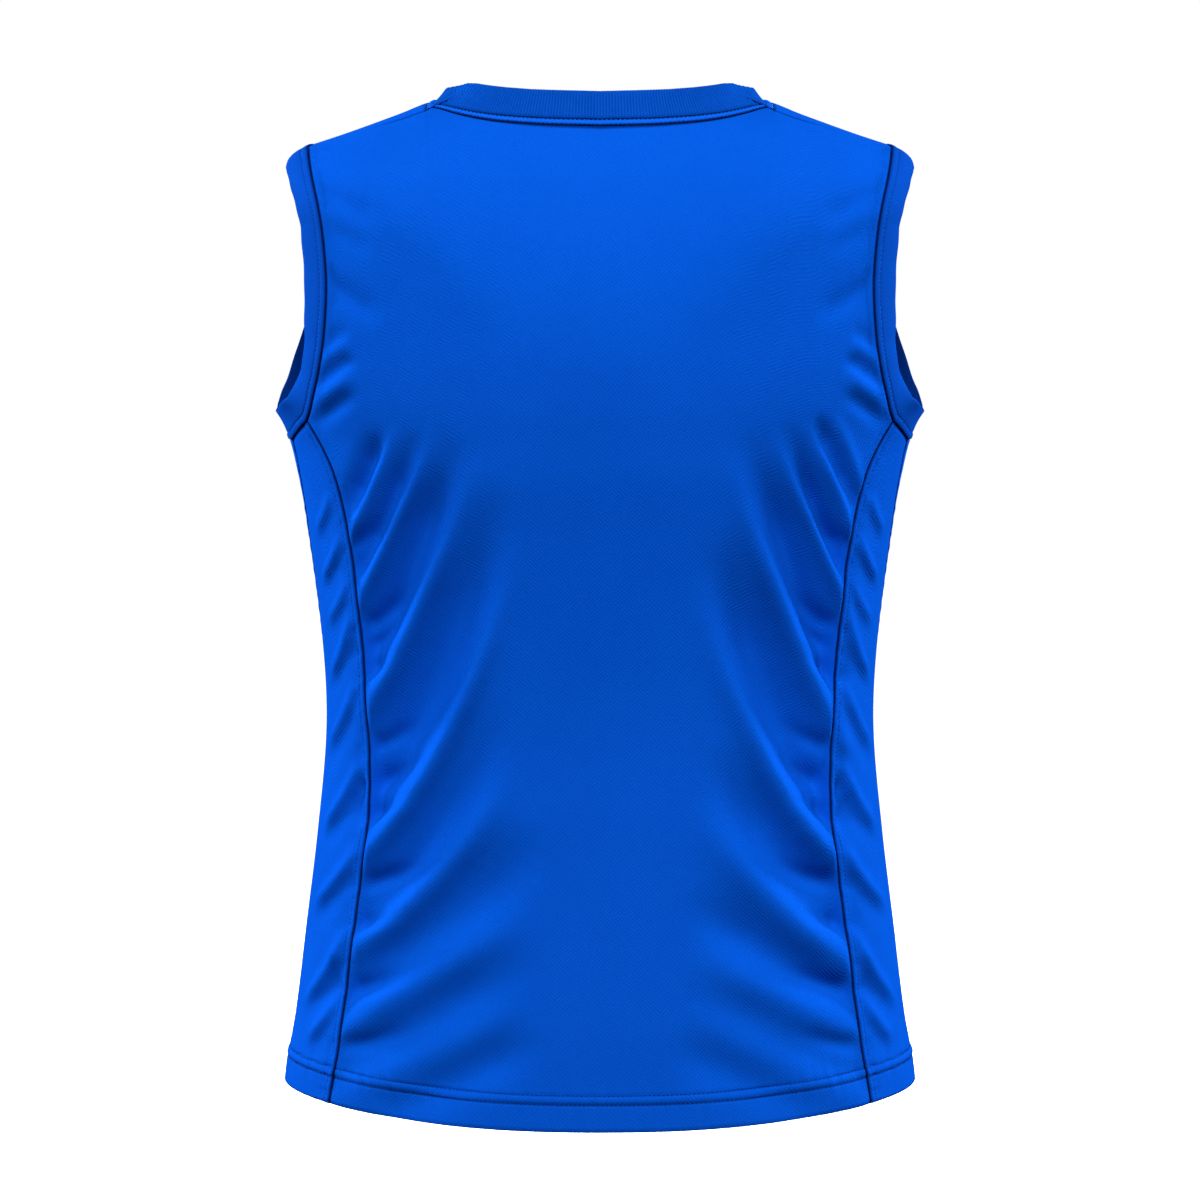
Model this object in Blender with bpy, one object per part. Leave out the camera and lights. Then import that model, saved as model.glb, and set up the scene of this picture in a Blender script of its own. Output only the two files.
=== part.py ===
"""A sleeveless football jersey in royal blue knit, filled out as if it were worn.

Metres, +Z up. The front faces -Y and the wearer's left is +X. The origin lies at the base of
the neck, midway between the two side neck points, where the wearer's shoulders carry it.

Every cut piece is a patch of one torso form. A place on the form is an angle in degrees round
the body (0 the left side, 90 the middle of the back, 270 the middle of the front) and a
height, which goes on counting along the cloth where the form rolls over the shoulder.
"""
import math

import bmesh
import bpy
import numpy as np

# ---- cloth ----
SEAM_GAP = 0.0003            # between two sewn pieces
PANEL_WALL = 0.0015          # knit of the body panels
HEM_WALL = 0.0023            # the knit turned up inside the hem
BAND_WALL = 0.0024           # folded knit of the bands, the tape and the collar
SECTION_POWER = 2.3          # squareness of the torso's level sections

# ---- level sections of the torso form, a row for each height ----
SECTION_COLUMNS = ("height", "half_width", "back_depth", "front_depth")
SECTIONS = (
    (-0.662, 0.2105, 0.113, 0.108),
    (-0.640, 0.2086, 0.111, 0.107),
    (-0.600, 0.2019, 0.108, 0.105),
    (-0.540, 0.1943, 0.103, 0.102),
    (-0.480, 0.1868, 0.099, 0.100),
    (-0.400, 0.1805, 0.097, 0.101),
    (-0.340, 0.1842, 0.102, 0.108),
    (-0.280, 0.1920, 0.110, 0.117),
    (-0.2415, 0.1989, 0.116, 0.123),
    (-0.2205, 0.2041, 0.118, 0.125),
    (-0.199, 0.2135, 0.120, 0.126),
    (-0.175, 0.2195, 0.121, 0.126),
    (-0.150, 0.2220, 0.121, 0.125),
    (-0.100, 0.2220, 0.121, 0.123),
    (0.150, 0.2220, 0.121, 0.120),
)

# ---- shoulder line, a row for each distance from the middle ----
SHOULDER_COLUMNS = ("side", "ridge_height", "back_roll", "front_roll")
SHOULDERS = (
    (0.0000, 0.0186, 0.200, 0.200),
    (0.0500, 0.0140, 0.180, 0.185),
    (0.0800, 0.0060, 0.145, 0.155),
    (0.1000, 0.0012, 0.115, 0.130),
    (0.1125, -0.0010, 0.100, 0.115),
    (0.1277, -0.0070, 0.085, 0.100),
    (0.1487, -0.0148, 0.068, 0.085),
    (0.1710, -0.0226, 0.056, 0.070),
    (0.1895, -0.0286, 0.050, 0.060),
    (0.2150, -0.0375, 0.045, 0.055),
)

# ---- cutting lines ----
HEM_SIDE_HEIGHT = -0.6455
HEM_BACK_DROP = 0.0157       # the hem hangs lower in the middle of the back
HEM_FRONT_DROP = 0.0110
HEM_POWER = 2.2              # how soon the drop begins, going round from the side
SHOULDER_SEAM_ROLL = 68.0    # the seam lies just behind the ridge, which is 90 degrees
NECK_SIDE = 0.1125           # from the middle to a side neck point
FRONT_NECK_HEIGHT = -0.085
BACK_NECK = (                # distance from the middle, height
    (0.0000, -0.0190), (0.0449, -0.0174), (0.0681, -0.0151), (0.0830, -0.0124),
    (0.0954, -0.0092), (0.1050, -0.0062), (0.1125, -0.0048),
)
BACK_SIDE_SEAM = (           # distance from the middle, height
    (0.1756, -0.6490), (0.1716, -0.6258), (0.1680, -0.6016), (0.1644, -0.5737), (0.1596, -0.5367),
    (0.1549, -0.5031), (0.1508, -0.4715), (0.1497, -0.4437), (0.1497, -0.4160), (0.1516, -0.3881),
    (0.1536, -0.3562), (0.1569, -0.3211), (0.1602, -0.2929), (0.1650, -0.2649), (0.1728, -0.2372),
    (0.1817, -0.2193), (0.1886, -0.2080),
)
BACK_ARMHOLE = (             # distance from the middle, height
    (0.1886, -0.2080), (0.1861, -0.2010), (0.1839, -0.1925), (0.1786, -0.1686), (0.1752, -0.1436),
    (0.1738, -0.1193), (0.1753, -0.1033), (0.1800, -0.0703), (0.1842, -0.0532), (0.1897, -0.0307),
)
FRONT_SIDE_SEAM = (          # angle, height
    (-5.0, -0.6455), (-5.0, -0.560), (-4.0, -0.480), (-3.0, -0.400), (0.0, -0.350), (6.0, -0.290),
    (10.0, -0.250), (12.0, -0.2205),
)
FRONT_ARMHOLE = (            # angle, height
    (12.0, -0.2205), (3.0, -0.2212), (-7.0, -0.2185), (-17.0, -0.2100), (-26.0, -0.1950),
    (-33.0, -0.1720), (-38.5, -0.1430), (-42.0, -0.1080), (-42.5, -0.0800), (-40.7, -0.0500),
    (-37.8, -0.0200), (-35.0, 0.0040), (-33.0, 0.0217),
)

# ---- folds: three places along each crease, as distance from the middle and height, then ----
# ---- its half width and how far it stands out; a trough has a negative height.           ----
FOLD_COLUMNS = ("start", "middle", "end", "half_width", "out")
BACK_FOLDS_LEFT = (
    ((0.160, -0.287), (0.147, -0.250), (0.126, -0.206), 0.0090, 0.0008),
    ((0.154, -0.323), (0.133, -0.275), (0.102, -0.206), 0.0090, 0.0012),
    ((0.151, -0.398), (0.117, -0.326), (0.078, -0.222), 0.0090, 0.0029),
    ((0.155, -0.492), (0.096, -0.405), (0.055, -0.282), 0.0090, 0.0038),
    ((0.166, -0.555), (0.099, -0.494), (0.055, -0.424), 0.0101, 0.0027),
    ((0.167, -0.603), (0.110, -0.560), (0.040, -0.515), 0.0143, 0.0030),
    ((0.162, -0.640), (0.101, -0.610), (0.045, -0.577), 0.0158, 0.0010),
    ((0.159, -0.261), (0.149, -0.239), (0.137, -0.210), 0.0090, -0.0030),
    ((0.155, -0.302), (0.134, -0.258), (0.115, -0.209), 0.0090, -0.0028),
    ((0.148, -0.361), (0.117, -0.290), (0.088, -0.209), 0.0109, -0.0045),
    ((0.151, -0.456), (0.099, -0.355), (0.063, -0.238), 0.0141, -0.0045),
    ((0.156, -0.528), (0.105, -0.471), (0.059, -0.385), 0.0100, -0.0026),
    ((0.162, -0.581), (0.084, -0.522), (0.045, -0.459), 0.0169, -0.0031),
    ((0.162, -0.619), (0.098, -0.585), (0.034, -0.541), 0.0155, -0.0023),
    ((0.129, -0.647), (0.079, -0.622), (0.035, -0.596), 0.0139, -0.0022),
)
BACK_FOLDS_RIGHT = (
    ((0.171, -0.259), (0.159, -0.226), (0.145, -0.200), 0.0090, 0.0005),
    ((0.161, -0.288), (0.151, -0.250), (0.127, -0.203), 0.0090, 0.0008),
    ((0.159, -0.333), (0.137, -0.276), (0.107, -0.207), 0.0090, 0.0013),
    ((0.156, -0.418), (0.117, -0.326), (0.079, -0.219), 0.0090, 0.0032),
    ((0.156, -0.492), (0.109, -0.430), (0.062, -0.302), 0.0101, 0.0043),
    ((0.163, -0.560), (0.103, -0.506), (0.061, -0.446), 0.0132, 0.0030),
    ((0.164, -0.609), (0.107, -0.571), (0.048, -0.544), 0.0168, 0.0019),
    ((0.162, -0.643), (0.103, -0.612), (0.046, -0.580), 0.0172, 0.0017),
    ((0.162, -0.258), (0.147, -0.226), (0.137, -0.201), 0.0090, -0.0009),
    ((0.158, -0.303), (0.139, -0.262), (0.117, -0.205), 0.0090, -0.0024),
    ((0.153, -0.375), (0.123, -0.297), (0.091, -0.209), 0.0094, -0.0045),
    ((0.152, -0.463), (0.103, -0.368), (0.078, -0.270), 0.0140, -0.0045),
    ((0.158, -0.533), (0.108, -0.477), (0.074, -0.411), 0.0130, -0.0031),
    ((0.164, -0.581), (0.102, -0.548), (0.056, -0.503), 0.0134, -0.0029),
    ((0.162, -0.623), (0.109, -0.598), (0.051, -0.561), 0.0153, -0.0020),
    ((0.129, -0.643), (0.083, -0.622), (0.038, -0.602), 0.0156, -0.0019),
)
ARMHOLE_FOLDS = (
    ((0.178, -0.058), (0.158, -0.071), (0.135, -0.084), 0.0080, -0.0010),
    ((0.172, -0.119), (0.155, -0.132), (0.134, -0.144), 0.0080, -0.0010),
    ((0.178, -0.182), (0.165, -0.173), (0.154, -0.165), 0.0080, -0.0007),
    ((0.181, -0.195), (0.166, -0.184), (0.153, -0.175), 0.0080, 0.0010),
    ((0.180, -0.208), (0.167, -0.198), (0.154, -0.187), 0.0080, -0.0006),
)
SIDE_FOLDS = (
    ((0.175, -0.259), (0.179, -0.270), (0.185, -0.281), 0.0080, 0.0013),
    ((0.168, -0.286), (0.174, -0.300), (0.181, -0.313), 0.0080, 0.0013),
    ((0.162, -0.338), (0.168, -0.359), (0.177, -0.378), 0.0080, 0.0013),
    ((0.159, -0.382), (0.168, -0.404), (0.179, -0.425), 0.0080, 0.0013),
    ((0.158, -0.435), (0.169, -0.457), (0.182, -0.478), 0.0080, 0.0013),
    ((0.161, -0.492), (0.174, -0.510), (0.189, -0.528), 0.0080, 0.0013),
    ((0.166, -0.544), (0.179, -0.568), (0.196, -0.592), 0.0080, 0.0013),
)
FRONT_FOLDS = (
    ((0.160, -0.268), (0.130, -0.235), (0.098, -0.196), 0.012, 0.0030),
    ((0.162, -0.300), (0.128, -0.262), (0.090, -0.212), 0.012, -0.0034),
    ((0.165, -0.335), (0.125, -0.290), (0.084, -0.230), 0.013, 0.0038),
    ((0.165, -0.372), (0.120, -0.320), (0.074, -0.255), 0.014, -0.0034),
    ((0.164, -0.415), (0.115, -0.358), (0.072, -0.300), 0.014, 0.0036),
    ((0.165, -0.455), (0.112, -0.402), (0.078, -0.350), 0.013, -0.0032),
    ((0.168, -0.495), (0.110, -0.446), (0.072, -0.402), 0.014, 0.0034),
    ((0.172, -0.535), (0.112, -0.496), (0.064, -0.452), 0.013, -0.0034),
    ((0.175, -0.570), (0.116, -0.540), (0.070, -0.508), 0.013, 0.0028),
    ((0.178, -0.600), (0.112, -0.578), (0.058, -0.545), 0.013, -0.0026),
)
FOLD_SAMPLES = 9
CREASE_START = 0.35          # share of its lift a crease has where it leaves the seam
CREASE_GROWS = 0.15          # share of its length over which it reaches all of it
CREASE_FADES = 0.45          # share of its length over which it runs out

# ---- grid of the panels ----
BACK_MIDDLE = 90.0           # angles of the middle of the back and of the front
FRONT_MIDDLE = 270.0
ROWS_BELOW_ARMHOLE = 31
ROWS_BESIDE_ARMHOLE = 14
HEM_ROWS = 1                 # grid rows, from the edge up, that the turned hem covers
NECK_COLUMNS_BACK = 9        # from the middle to the side neck point
NECK_COLUMNS_FRONT = 11
SEAM_COLUMNS = 5             # across a shoulder seam
BACK_NECK_SHARE = 0.62       # share of the half hem below the neck's columns
FRONT_NECK_SHARE = 0.84
TOP_BEGINS = 0.55            # share of a panel's height from which its rows take the top's shape
TOP_POWER = 1.6
DEGREE_LENGTH = 0.002        # metres that a degree round the body counts for along a cutting line
SIDE_STATIONS = (0.0, 0.09, 0.30, 0.53, 0.77, 1.0)   # across a side panel, from its back seam
UNDERARM_SAG = 0.0008        # dip of a side panel's top edge between its seams
SEAM_RIDGE = 0.0008          # felled seam standing on the side panel, next to its back seam
SEAM_RIDGE_SHARE = 0.1       # share of the side panel's width that it covers
ANGLE_STEP = 0.2             # degrees and metres either side of a place, to find its normal
HEIGHT_STEP = 0.0008
SHARPEST_CORNER = -0.7       # cosine of the sharpest turn a shifted edge is mitred at
SHARP_EDGE = 40.0            # degrees between faces from which an edge is drawn sharp

# ---- bands, tape and collar ----
STRIP_SOFTNESS = 0.018       # length over which a strip turns a corner of its seam
BAND_WIDTH = 0.0210
BAND_ROLL_WIDTH = 0.0050     # the rolled ridge beside the armhole seam
BAND_ROLL = 0.0007
BAND_ROLL_SLOPE = 0.0015     # width over which the ridge falls to the band
BAND_MIDDLE = 0.62           # share of the band at which its face has a middle row
BAND_BEND_BACK = (           # share of the way down the back armhole, outward bend in degrees
    (0.00, -66.0), (0.15, -50.0), (0.30, -24.0), (0.60, -14.0), (1.00, 14.0),
)
BAND_BEND_UNDERARM = 28.0
BAND_BEND_FRONT = (          # share of the way up the front armhole, outward bend in degrees
    (0.00, 28.0), (0.30, 26.0), (0.70, -14.0), (0.88, -50.0), (1.00, -66.0),
)
TAPE_WIDTH = 0.0050
TAPE_RAISE = 0.0007
TAPE_BEVEL = 0.0009
TAPE_EDGE = 0.4              # share of its raise that the tape has at its edges
TAPE_LEAN = 0.2              # share of the collar's rise that the tape already bends through
COLLAR_WIDTH = 0.0225
COLLAR_RISE = (              # depth of the place, degrees by which the collar stands up there
    (-0.110, 8.0), (-0.060, 9.0), (0.000, 9.0), (0.018, 10.0), (0.028, 14.0),
    (0.036, 22.0), (0.043, 27.0), (0.050, 25.0), (0.057, 19.0), (0.063, 12.0),
    (0.070, 7.0),
)
COLLAR_FOLD = 0.6            # share of the rise taken at the seam; the rest is its roll
RIB_COUNT = 280
RIB_RELIEF = 0.00035
RIBS_BEGIN = 0.0012          # from the collar's seam

# ---- colours: linear base colour, roughness ----
PANEL_COLOUR = (0.004, 0.085, 0.560)
RIB_COLOUR = (0.004, 0.080, 0.530)
TRIM_COLOUR = (0.005, 0.085, 0.520)
KNIT_ROUGHNESS = 0.62


# ---------------------------------------------------------------- the torso form

def smooth(places, values, at):
    """Read a table on a cubic through its rows; a row's slope is that of its neighbours."""
    places = np.asarray(places, float)
    values = np.asarray(values, float)
    at = np.clip(np.asarray(at, float), places[0], places[-1])
    slopes = np.gradient(values, places)
    row = np.clip(np.searchsorted(places, at, side="right") - 1, 0, len(places) - 2)
    span = places[row + 1] - places[row]
    u = (at - places[row]) / span
    start = values[row] * (1 + 2 * u) * (1 - u) ** 2 + slopes[row] * span * u * (1 - u) ** 2
    end = values[row + 1] * u ** 2 * (3 - 2 * u) + slopes[row + 1] * span * u ** 2 * (u - 1)
    return start + end


def column(rows, names, name):
    """One named column of a table, as an array."""
    return np.array([row[names.index(name)] for row in rows])


def section(name, height):
    """One size of the torso's level section at a height."""
    return smooth(column(SECTIONS, SECTION_COLUMNS, "height"),
                  column(SECTIONS, SECTION_COLUMNS, name), height)


def shoulder(name, side):
    """One size of the shoulder line at a distance from the middle."""
    return smooth(column(SHOULDERS, SHOULDER_COLUMNS, "side"),
                  column(SHOULDERS, SHOULDER_COLUMNS, name), np.abs(side))


def form(angle, height):
    """Points of the torso form.

    Below the shoulder a point lies on a superellipse section. From one roll under the ridge
    it follows a quarter ellipse up to the ridge, and past the ridge the quarter of the other
    side, so the front's cloth can reach over the shoulder.
    """
    angle, height = np.broadcast_arrays(np.asarray(angle, float), np.asarray(height, float))
    cosine = np.cos(np.radians(angle))
    sine = np.sin(np.radians(angle))
    half_width = section("half_width", height)
    x = half_width * np.sign(cosine) * np.abs(cosine) ** (2 / SECTION_POWER)
    reach = np.abs(sine) ** (2 / SECTION_POWER)
    back = sine >= 0
    depth_back = section("back_depth", height) * reach
    depth_front = section("front_depth", height) * reach
    ridge = shoulder("ridge_height", x)
    roll_back = shoulder("back_roll", x)
    roll_front = shoulder("front_roll", x)
    roll = np.where(back, roll_back, roll_front)
    other_roll = np.where(back, roll_front, roll_back)
    depth = np.where(back, depth_back, depth_front)
    other_depth = np.where(back, depth_front, depth_back)
    climb = (height - (ridge - roll)) / roll
    turn = np.clip(climb, 0.0, math.pi / 2)
    past = np.clip((climb - math.pi / 2) * roll / other_roll, 0.0, math.pi / 2)
    y = depth * np.cos(turn) - other_depth * np.sin(past)
    z = np.where(climb > 0, ridge - roll * (1 - np.sin(turn)) - other_roll * (1 - np.cos(past)), height)
    return np.stack([x, np.where(back, y, -y), z], axis=-1)


def form_normal(angle, height):
    """Outward unit normals of the form, from its change over a small step each way."""
    round_body = form(angle + ANGLE_STEP, height) - form(angle - ANGLE_STEP, height)
    up_body = form(angle, height + HEIGHT_STEP) - form(angle, height - HEIGHT_STEP)
    return unit(np.cross(round_body, up_body))


def unit(vectors):
    """Vectors brought to length one."""
    return vectors / np.linalg.norm(vectors, axis=-1, keepdims=True)


def angle_at(side, height):
    """The angle, from the left side to the middle, at which the form is this far from the middle."""
    share = np.clip(np.asarray(side) / section("half_width", height), 0.0, 1.0)
    return np.degrees(np.arccos(share ** (SECTION_POWER / 2)))


def back_place(side, level):
    """Angle and height on the back of a point seen at a distance from the middle and a level."""
    roll = shoulder("back_roll", side)
    foot = shoulder("ridge_height", side) - roll
    over = np.clip((level - foot) / roll, 0.0, 1.0)
    height = np.where(level > foot, foot + roll * np.arcsin(over), level)
    return angle_at(side, height), height


def seam_height(side):
    """Height of the shoulder seam on the back of the form."""
    roll = shoulder("back_roll", side)
    return shoulder("ridge_height", side) - roll + roll * math.radians(SHOULDER_SEAM_ROLL)


def seam_height_from_front(side):
    """Height of the same seam, counted up the front and over the ridge."""
    roll = shoulder("front_roll", side)
    past = shoulder("back_roll", side) * math.radians(90.0 - SHOULDER_SEAM_ROLL)
    return shoulder("ridge_height", side) - roll + roll * math.pi / 2 + past


def hem_height(angle):
    """Height of the hem's edge, lower in the middle of the back and of the front."""
    sine = np.sin(np.radians(angle))
    drop = np.where(sine > 0, HEM_BACK_DROP, HEM_FRONT_DROP)
    return HEM_SIDE_HEIGHT - drop * np.abs(sine) ** HEM_POWER


# ---------------------------------------------------------------- folds

def crease_height(points, spines):
    """How far the creases lift the cloth at each point.

    A crease is a parabola through three places. Its lift falls off as a bell with the
    distance from it, starts at a share beside the seam and fades to nothing at its end.
    """
    lift = np.zeros(points.shape[:-1])
    for spine, half_width, out in spines:
        nearest = np.full(lift.shape, np.inf)
        along = np.zeros(lift.shape)
        for k in range(len(spine) - 1):
            step = spine[k + 1] - spine[k]
            u = np.clip(((points - spine[k]) @ step) / (step @ step), 0.0, 1.0)
            distance = np.linalg.norm(points - spine[k] - u[..., None] * step, axis=-1)
            closer = distance < nearest
            nearest = np.where(closer, distance, nearest)
            along = np.where(closer, (k + u) / (len(spine) - 1), along)
        start = CREASE_START + (1 - CREASE_START) * np.clip(along / CREASE_GROWS, 0.0, 1.0)
        fade = np.clip((1 - along) / CREASE_FADES, 0.0, 1.0)
        lift += out * start * fade * fade * (3 - 2 * fade) * np.exp(-(nearest / half_width) ** 2)
    return lift


def spine_points(places, facing, hand):
    """A crease's spine: a parabola through its three places, laid on the back or the front."""
    start, middle, end = (np.array(place) for place in places)
    t = np.linspace(0.0, 1.0, FOLD_SAMPLES)[:, None]
    flat = start * (1 - t) * (1 - 2 * t) + middle * 4 * t * (1 - t) + end * t * (2 * t - 1)
    side, level = flat[:, 0], flat[:, 1]
    angle, height = back_place(side, level)
    if facing == "front":
        angle, height = -angle_at(side, level), level
    return form(np.where(hand > 0, angle, 180.0 - angle), height)


def all_creases():
    """Spine, half width and lift of every fold on the garment."""
    tables = (
        (BACK_FOLDS_LEFT, "back", (1,)),
        (BACK_FOLDS_RIGHT, "back", (-1,)),
        (ARMHOLE_FOLDS, "back", (1, -1)),
        (SIDE_FOLDS, "back", (1, -1)),
        (FRONT_FOLDS, "front", (1, -1)),
    )
    creases = []
    for table, facing, hands in tables:
        for row in table:
            fold = dict(zip(FOLD_COLUMNS, row))
            places = (fold["start"], fold["middle"], fold["end"])
            for hand in hands:
                spine = spine_points(places, facing, hand)
                creases.append((spine, fold["half_width"], fold["out"]))
    return creases


def cloth(angle, height, creases):
    """Points of the folded cloth and its outward normals."""
    points = form(angle, height)
    normals = form_normal(angle, height)
    return points + crease_height(points, creases)[..., None] * normals, normals


# ---------------------------------------------------------------- panel grids

def along(rows, shares, first_unit=1.0):
    """Places on a cutting line at shares of its length, on a cubic through its rows.

    The first unit is the length in metres that one of the first column counts for.
    """
    rows = np.asarray(rows, float)
    steps = np.linalg.norm(np.diff(rows * np.array([first_unit, 1.0]), axis=0), axis=1)
    run = np.concatenate([[0.0], np.cumsum(steps)])
    at = np.asarray(shares) * run[-1]
    return smooth(run, rows[:, 0], at), smooth(run, rows[:, 1], at)


def between_edges(side, middle, bottom, top, column_shares, row_shares):
    """A grid of (angle, height) between four edges: rows go up, columns from middle to side.

    A row runs straight from the middle to the side edge. The hem's own shape is added to it,
    less and less going up, and the top's own shape, more and more towards the top.
    """
    s = column_shares[None, :, None]
    t = row_shares[:, None, None]
    rise = np.clip((t - TOP_BEGINS) / (1 - TOP_BEGINS), 0.0, 1.0) ** TOP_POWER
    straight = (1 - s) * middle[:, None] + s * side[:, None]
    hem_shape = bottom[None] - (1 - s) * bottom[0] - s * bottom[-1]
    top_shape = top[None] - (1 - s) * top[0] - s * top[-1]
    return straight + (1 - t) * hem_shape + rise * top_shape


def column_shares_at_hem(middle_angle, side_angle, neck_columns, neck_share):
    """Shares of the way round from the middle to the side at which a panel's columns start.

    The neck's columns and the shoulder's are each spread evenly along the hem's edge.
    """
    angles = np.linspace(middle_angle, side_angle, 200)
    edge = form(angles, hem_height(angles))
    run = np.concatenate([[0.0], np.cumsum(np.linalg.norm(np.diff(edge, axis=0), axis=1))])
    even = np.concatenate([
        np.linspace(0.0, neck_share, neck_columns + 1)[:-1],
        np.linspace(neck_share, 1.0, SEAM_COLUMNS + 1),
    ])
    return np.interp(even * run[-1], run, np.linspace(0.0, 1.0, len(angles)))


def mirrored(half, middle_angle):
    """The whole panel's grid from its left half, whose first column is the middle."""
    other = half[:, :0:-1].copy()
    other[..., 0] = 2 * middle_angle - other[..., 0]
    return np.concatenate([other, half], axis=1)


def pair(first, second):
    """Two arrays as the last axis of one."""
    return np.stack([first, second], axis=-1)


def back_side_places():
    """Places up the back panel's left edge: the side seam, then the armhole."""
    shares = np.linspace(0.0, 1.0, ROWS_BELOW_ARMHOLE + 1)
    side, level = along(BACK_SIDE_SEAM, shares)
    seam = pair(*back_place(side, level))
    shares = np.linspace(0.0, 1.0, ROWS_BESIDE_ARMHOLE + 1)
    side, level = along(BACK_ARMHOLE, shares)
    armhole = pair(*back_place(side, level))
    seam[0, 1] = hem_height(seam[0, 0])
    armhole[0] = seam[-1]
    armhole[-1, 1] = seam_height(BACK_ARMHOLE[-1][0])
    armhole[-1, 0] = angle_at(BACK_ARMHOLE[-1][0], armhole[-1, 1])
    return seam, armhole


def front_side_places():
    """Places up the front panel's left edge, with angles from 360 down to 270 at the middle."""
    seam_shares = np.linspace(0.0, 1.0, ROWS_BELOW_ARMHOLE + 1)
    armhole_shares = np.linspace(0.0, 1.0, ROWS_BESIDE_ARMHOLE + 1)
    seam = pair(*along(FRONT_SIDE_SEAM, seam_shares, DEGREE_LENGTH))
    armhole = pair(*along(FRONT_ARMHOLE, armhole_shares, DEGREE_LENGTH))
    tip = BACK_ARMHOLE[-1][0]
    armhole[-1, 1] = seam_height_from_front(tip)
    armhole[-1, 0] = -angle_at(tip, armhole[-1, 1])
    seam[:, 0] += 360.0
    armhole[:, 0] += 360.0
    seam[0, 1] = hem_height(seam[0, 0])
    armhole[0] = seam[-1]
    return seam, armhole


def shoulder_sides():
    """Distances from the middle of the shoulder seam's grid places, from the neck outwards."""
    return np.linspace(NECK_SIDE, BACK_ARMHOLE[-1][0], SEAM_COLUMNS + 1)


def back_top_places():
    """Places along the back's upper edge: half the neckline, then the shoulder seam."""
    side, level = along(BACK_NECK, np.linspace(0.0, 1.0, NECK_COLUMNS_BACK + 1))
    neck = pair(*back_place(side, level))
    seam_sides = shoulder_sides()
    heights = seam_height(seam_sides)
    seam = pair(angle_at(seam_sides, heights), heights)
    return np.concatenate([neck[:-1], seam])


def front_top_places():
    """Places along the front's upper edge: half the round neckline, then the shoulder seam.

    The neckline is a quarter oval in distance from the middle and height up the cloth.
    """
    foot = shoulder("ridge_height", 0.0) - shoulder("front_roll", 0.0)
    rise = (FRONT_NECK_HEIGHT - foot) / shoulder("front_roll", 0.0)
    lowest = foot + shoulder("front_roll", 0.0) * math.asin(rise)
    highest = seam_height_from_front(NECK_SIDE)
    turn = np.radians(np.linspace(0.0, 90.0, NECK_COLUMNS_FRONT + 1))
    side = NECK_SIDE * np.sin(turn)
    height = highest - (highest - lowest) * np.cos(turn)
    neck = pair(360.0 - angle_at(side, height), height)
    seam_sides = shoulder_sides()
    heights = seam_height_from_front(seam_sides)
    seam = pair(360.0 - angle_at(seam_sides, heights), heights)
    return np.concatenate([neck[:-1], seam])


def body_grid(edges, top, middle_angle, neck_columns, neck_share):
    """The grid of the back or the front, whole, from its left edge, its top and its middle."""
    seam, armhole = edges
    side = np.concatenate([seam, armhole[1:]])
    column_shares = column_shares_at_hem(middle_angle, side[0, 0], neck_columns, neck_share)
    steps = np.linalg.norm(np.diff(form(side[:, 0], side[:, 1]), axis=0), axis=1)
    row_shares = np.concatenate([[0.0], np.cumsum(steps)]) / steps.sum()
    hem_angles = middle_angle + (side[0, 0] - middle_angle) * column_shares
    bottom = pair(hem_angles, hem_height(hem_angles))
    middle = pair(np.full(len(side), float(middle_angle)),
                  bottom[0, 1] + (top[0, 1] - bottom[0, 1]) * row_shares)
    half = between_edges(side, middle, bottom, top, column_shares, row_shares)
    return mirrored(half, middle_angle)


def side_grid(hand):
    """The grid of a side panel, its columns from the back seam to the front seam."""
    back_edge = back_side_places()[0]
    front_edge = front_side_places()[0] - np.array([360.0, 0.0])
    s = np.array(SIDE_STATIONS)[None, :, None]
    grid = (1 - s) * back_edge[:, None] + s * front_edge[:, None]
    grid[0, :, 1] = hem_height(grid[0, :, 0])
    sag = np.sin(math.pi * np.array(SIDE_STATIONS))
    grid[-1, :, 1] -= UNDERARM_SAG * sag
    if hand < 0:
        grid[..., 0] = 180.0 - grid[..., 0]
    return grid


# ---------------------------------------------------------------- walls and rings

def inset(points, normals, distance):
    """Move a closed line of points sideways, to the left of its run as seen from outside.

    At a corner the shift is the one that keeps both neighbouring stretches at the distance.
    """
    ahead = unit(np.roll(points, -1, axis=0) - points)
    behind = np.roll(ahead, 1, axis=0)
    left_ahead = unit(np.cross(normals, ahead))
    left_behind = unit(np.cross(normals, behind))
    agree = np.clip(np.sum(left_ahead * left_behind, axis=1, keepdims=True), SHARPEST_CORNER, 1.0)
    return points + distance * (left_ahead + left_behind) / (1 + agree)


def border(rows, columns):
    """Index pairs round a grid's border, counter-clockwise from its first corner."""
    lower = [(0, j) for j in range(columns - 1)]
    right = [(i, columns - 1) for i in range(rows - 1)]
    upper = [(rows - 1, j) for j in range(columns - 1, 0, -1)]
    left = [(i, 0) for i in range(rows - 1, 0, -1)]
    return tuple(np.array(lower + right + upper + left).T)


def shrink_for_seams(points, normals, outward_run):
    """Draw a panel's border in by half the seam's gap."""
    ring = border(*points.shape[:2])
    distance = SEAM_GAP / 2 * (1 if outward_run else -1)
    moved = points.copy()
    moved[ring] = inset(points[ring], normals[ring], distance)
    return moved


def make_object(name, points, faces, material):
    """A closed mesh object in the jersey's collection."""
    mesh = bpy.data.meshes.new(name)
    mesh.from_pydata([tuple(point) for point in points], [], faces)
    body = bmesh.new()
    body.from_mesh(mesh)
    bmesh.ops.recalc_face_normals(body, faces=body.faces)
    body.to_mesh(mesh)
    body.free()
    mesh.shade_smooth()
    mesh.set_sharp_from_angle(angle=math.radians(SHARP_EDGE))
    mesh.materials.append(material)
    made = bpy.data.objects.new(name, mesh)
    bpy.data.collections["football_jersey"].objects.link(made)
    return made


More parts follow.
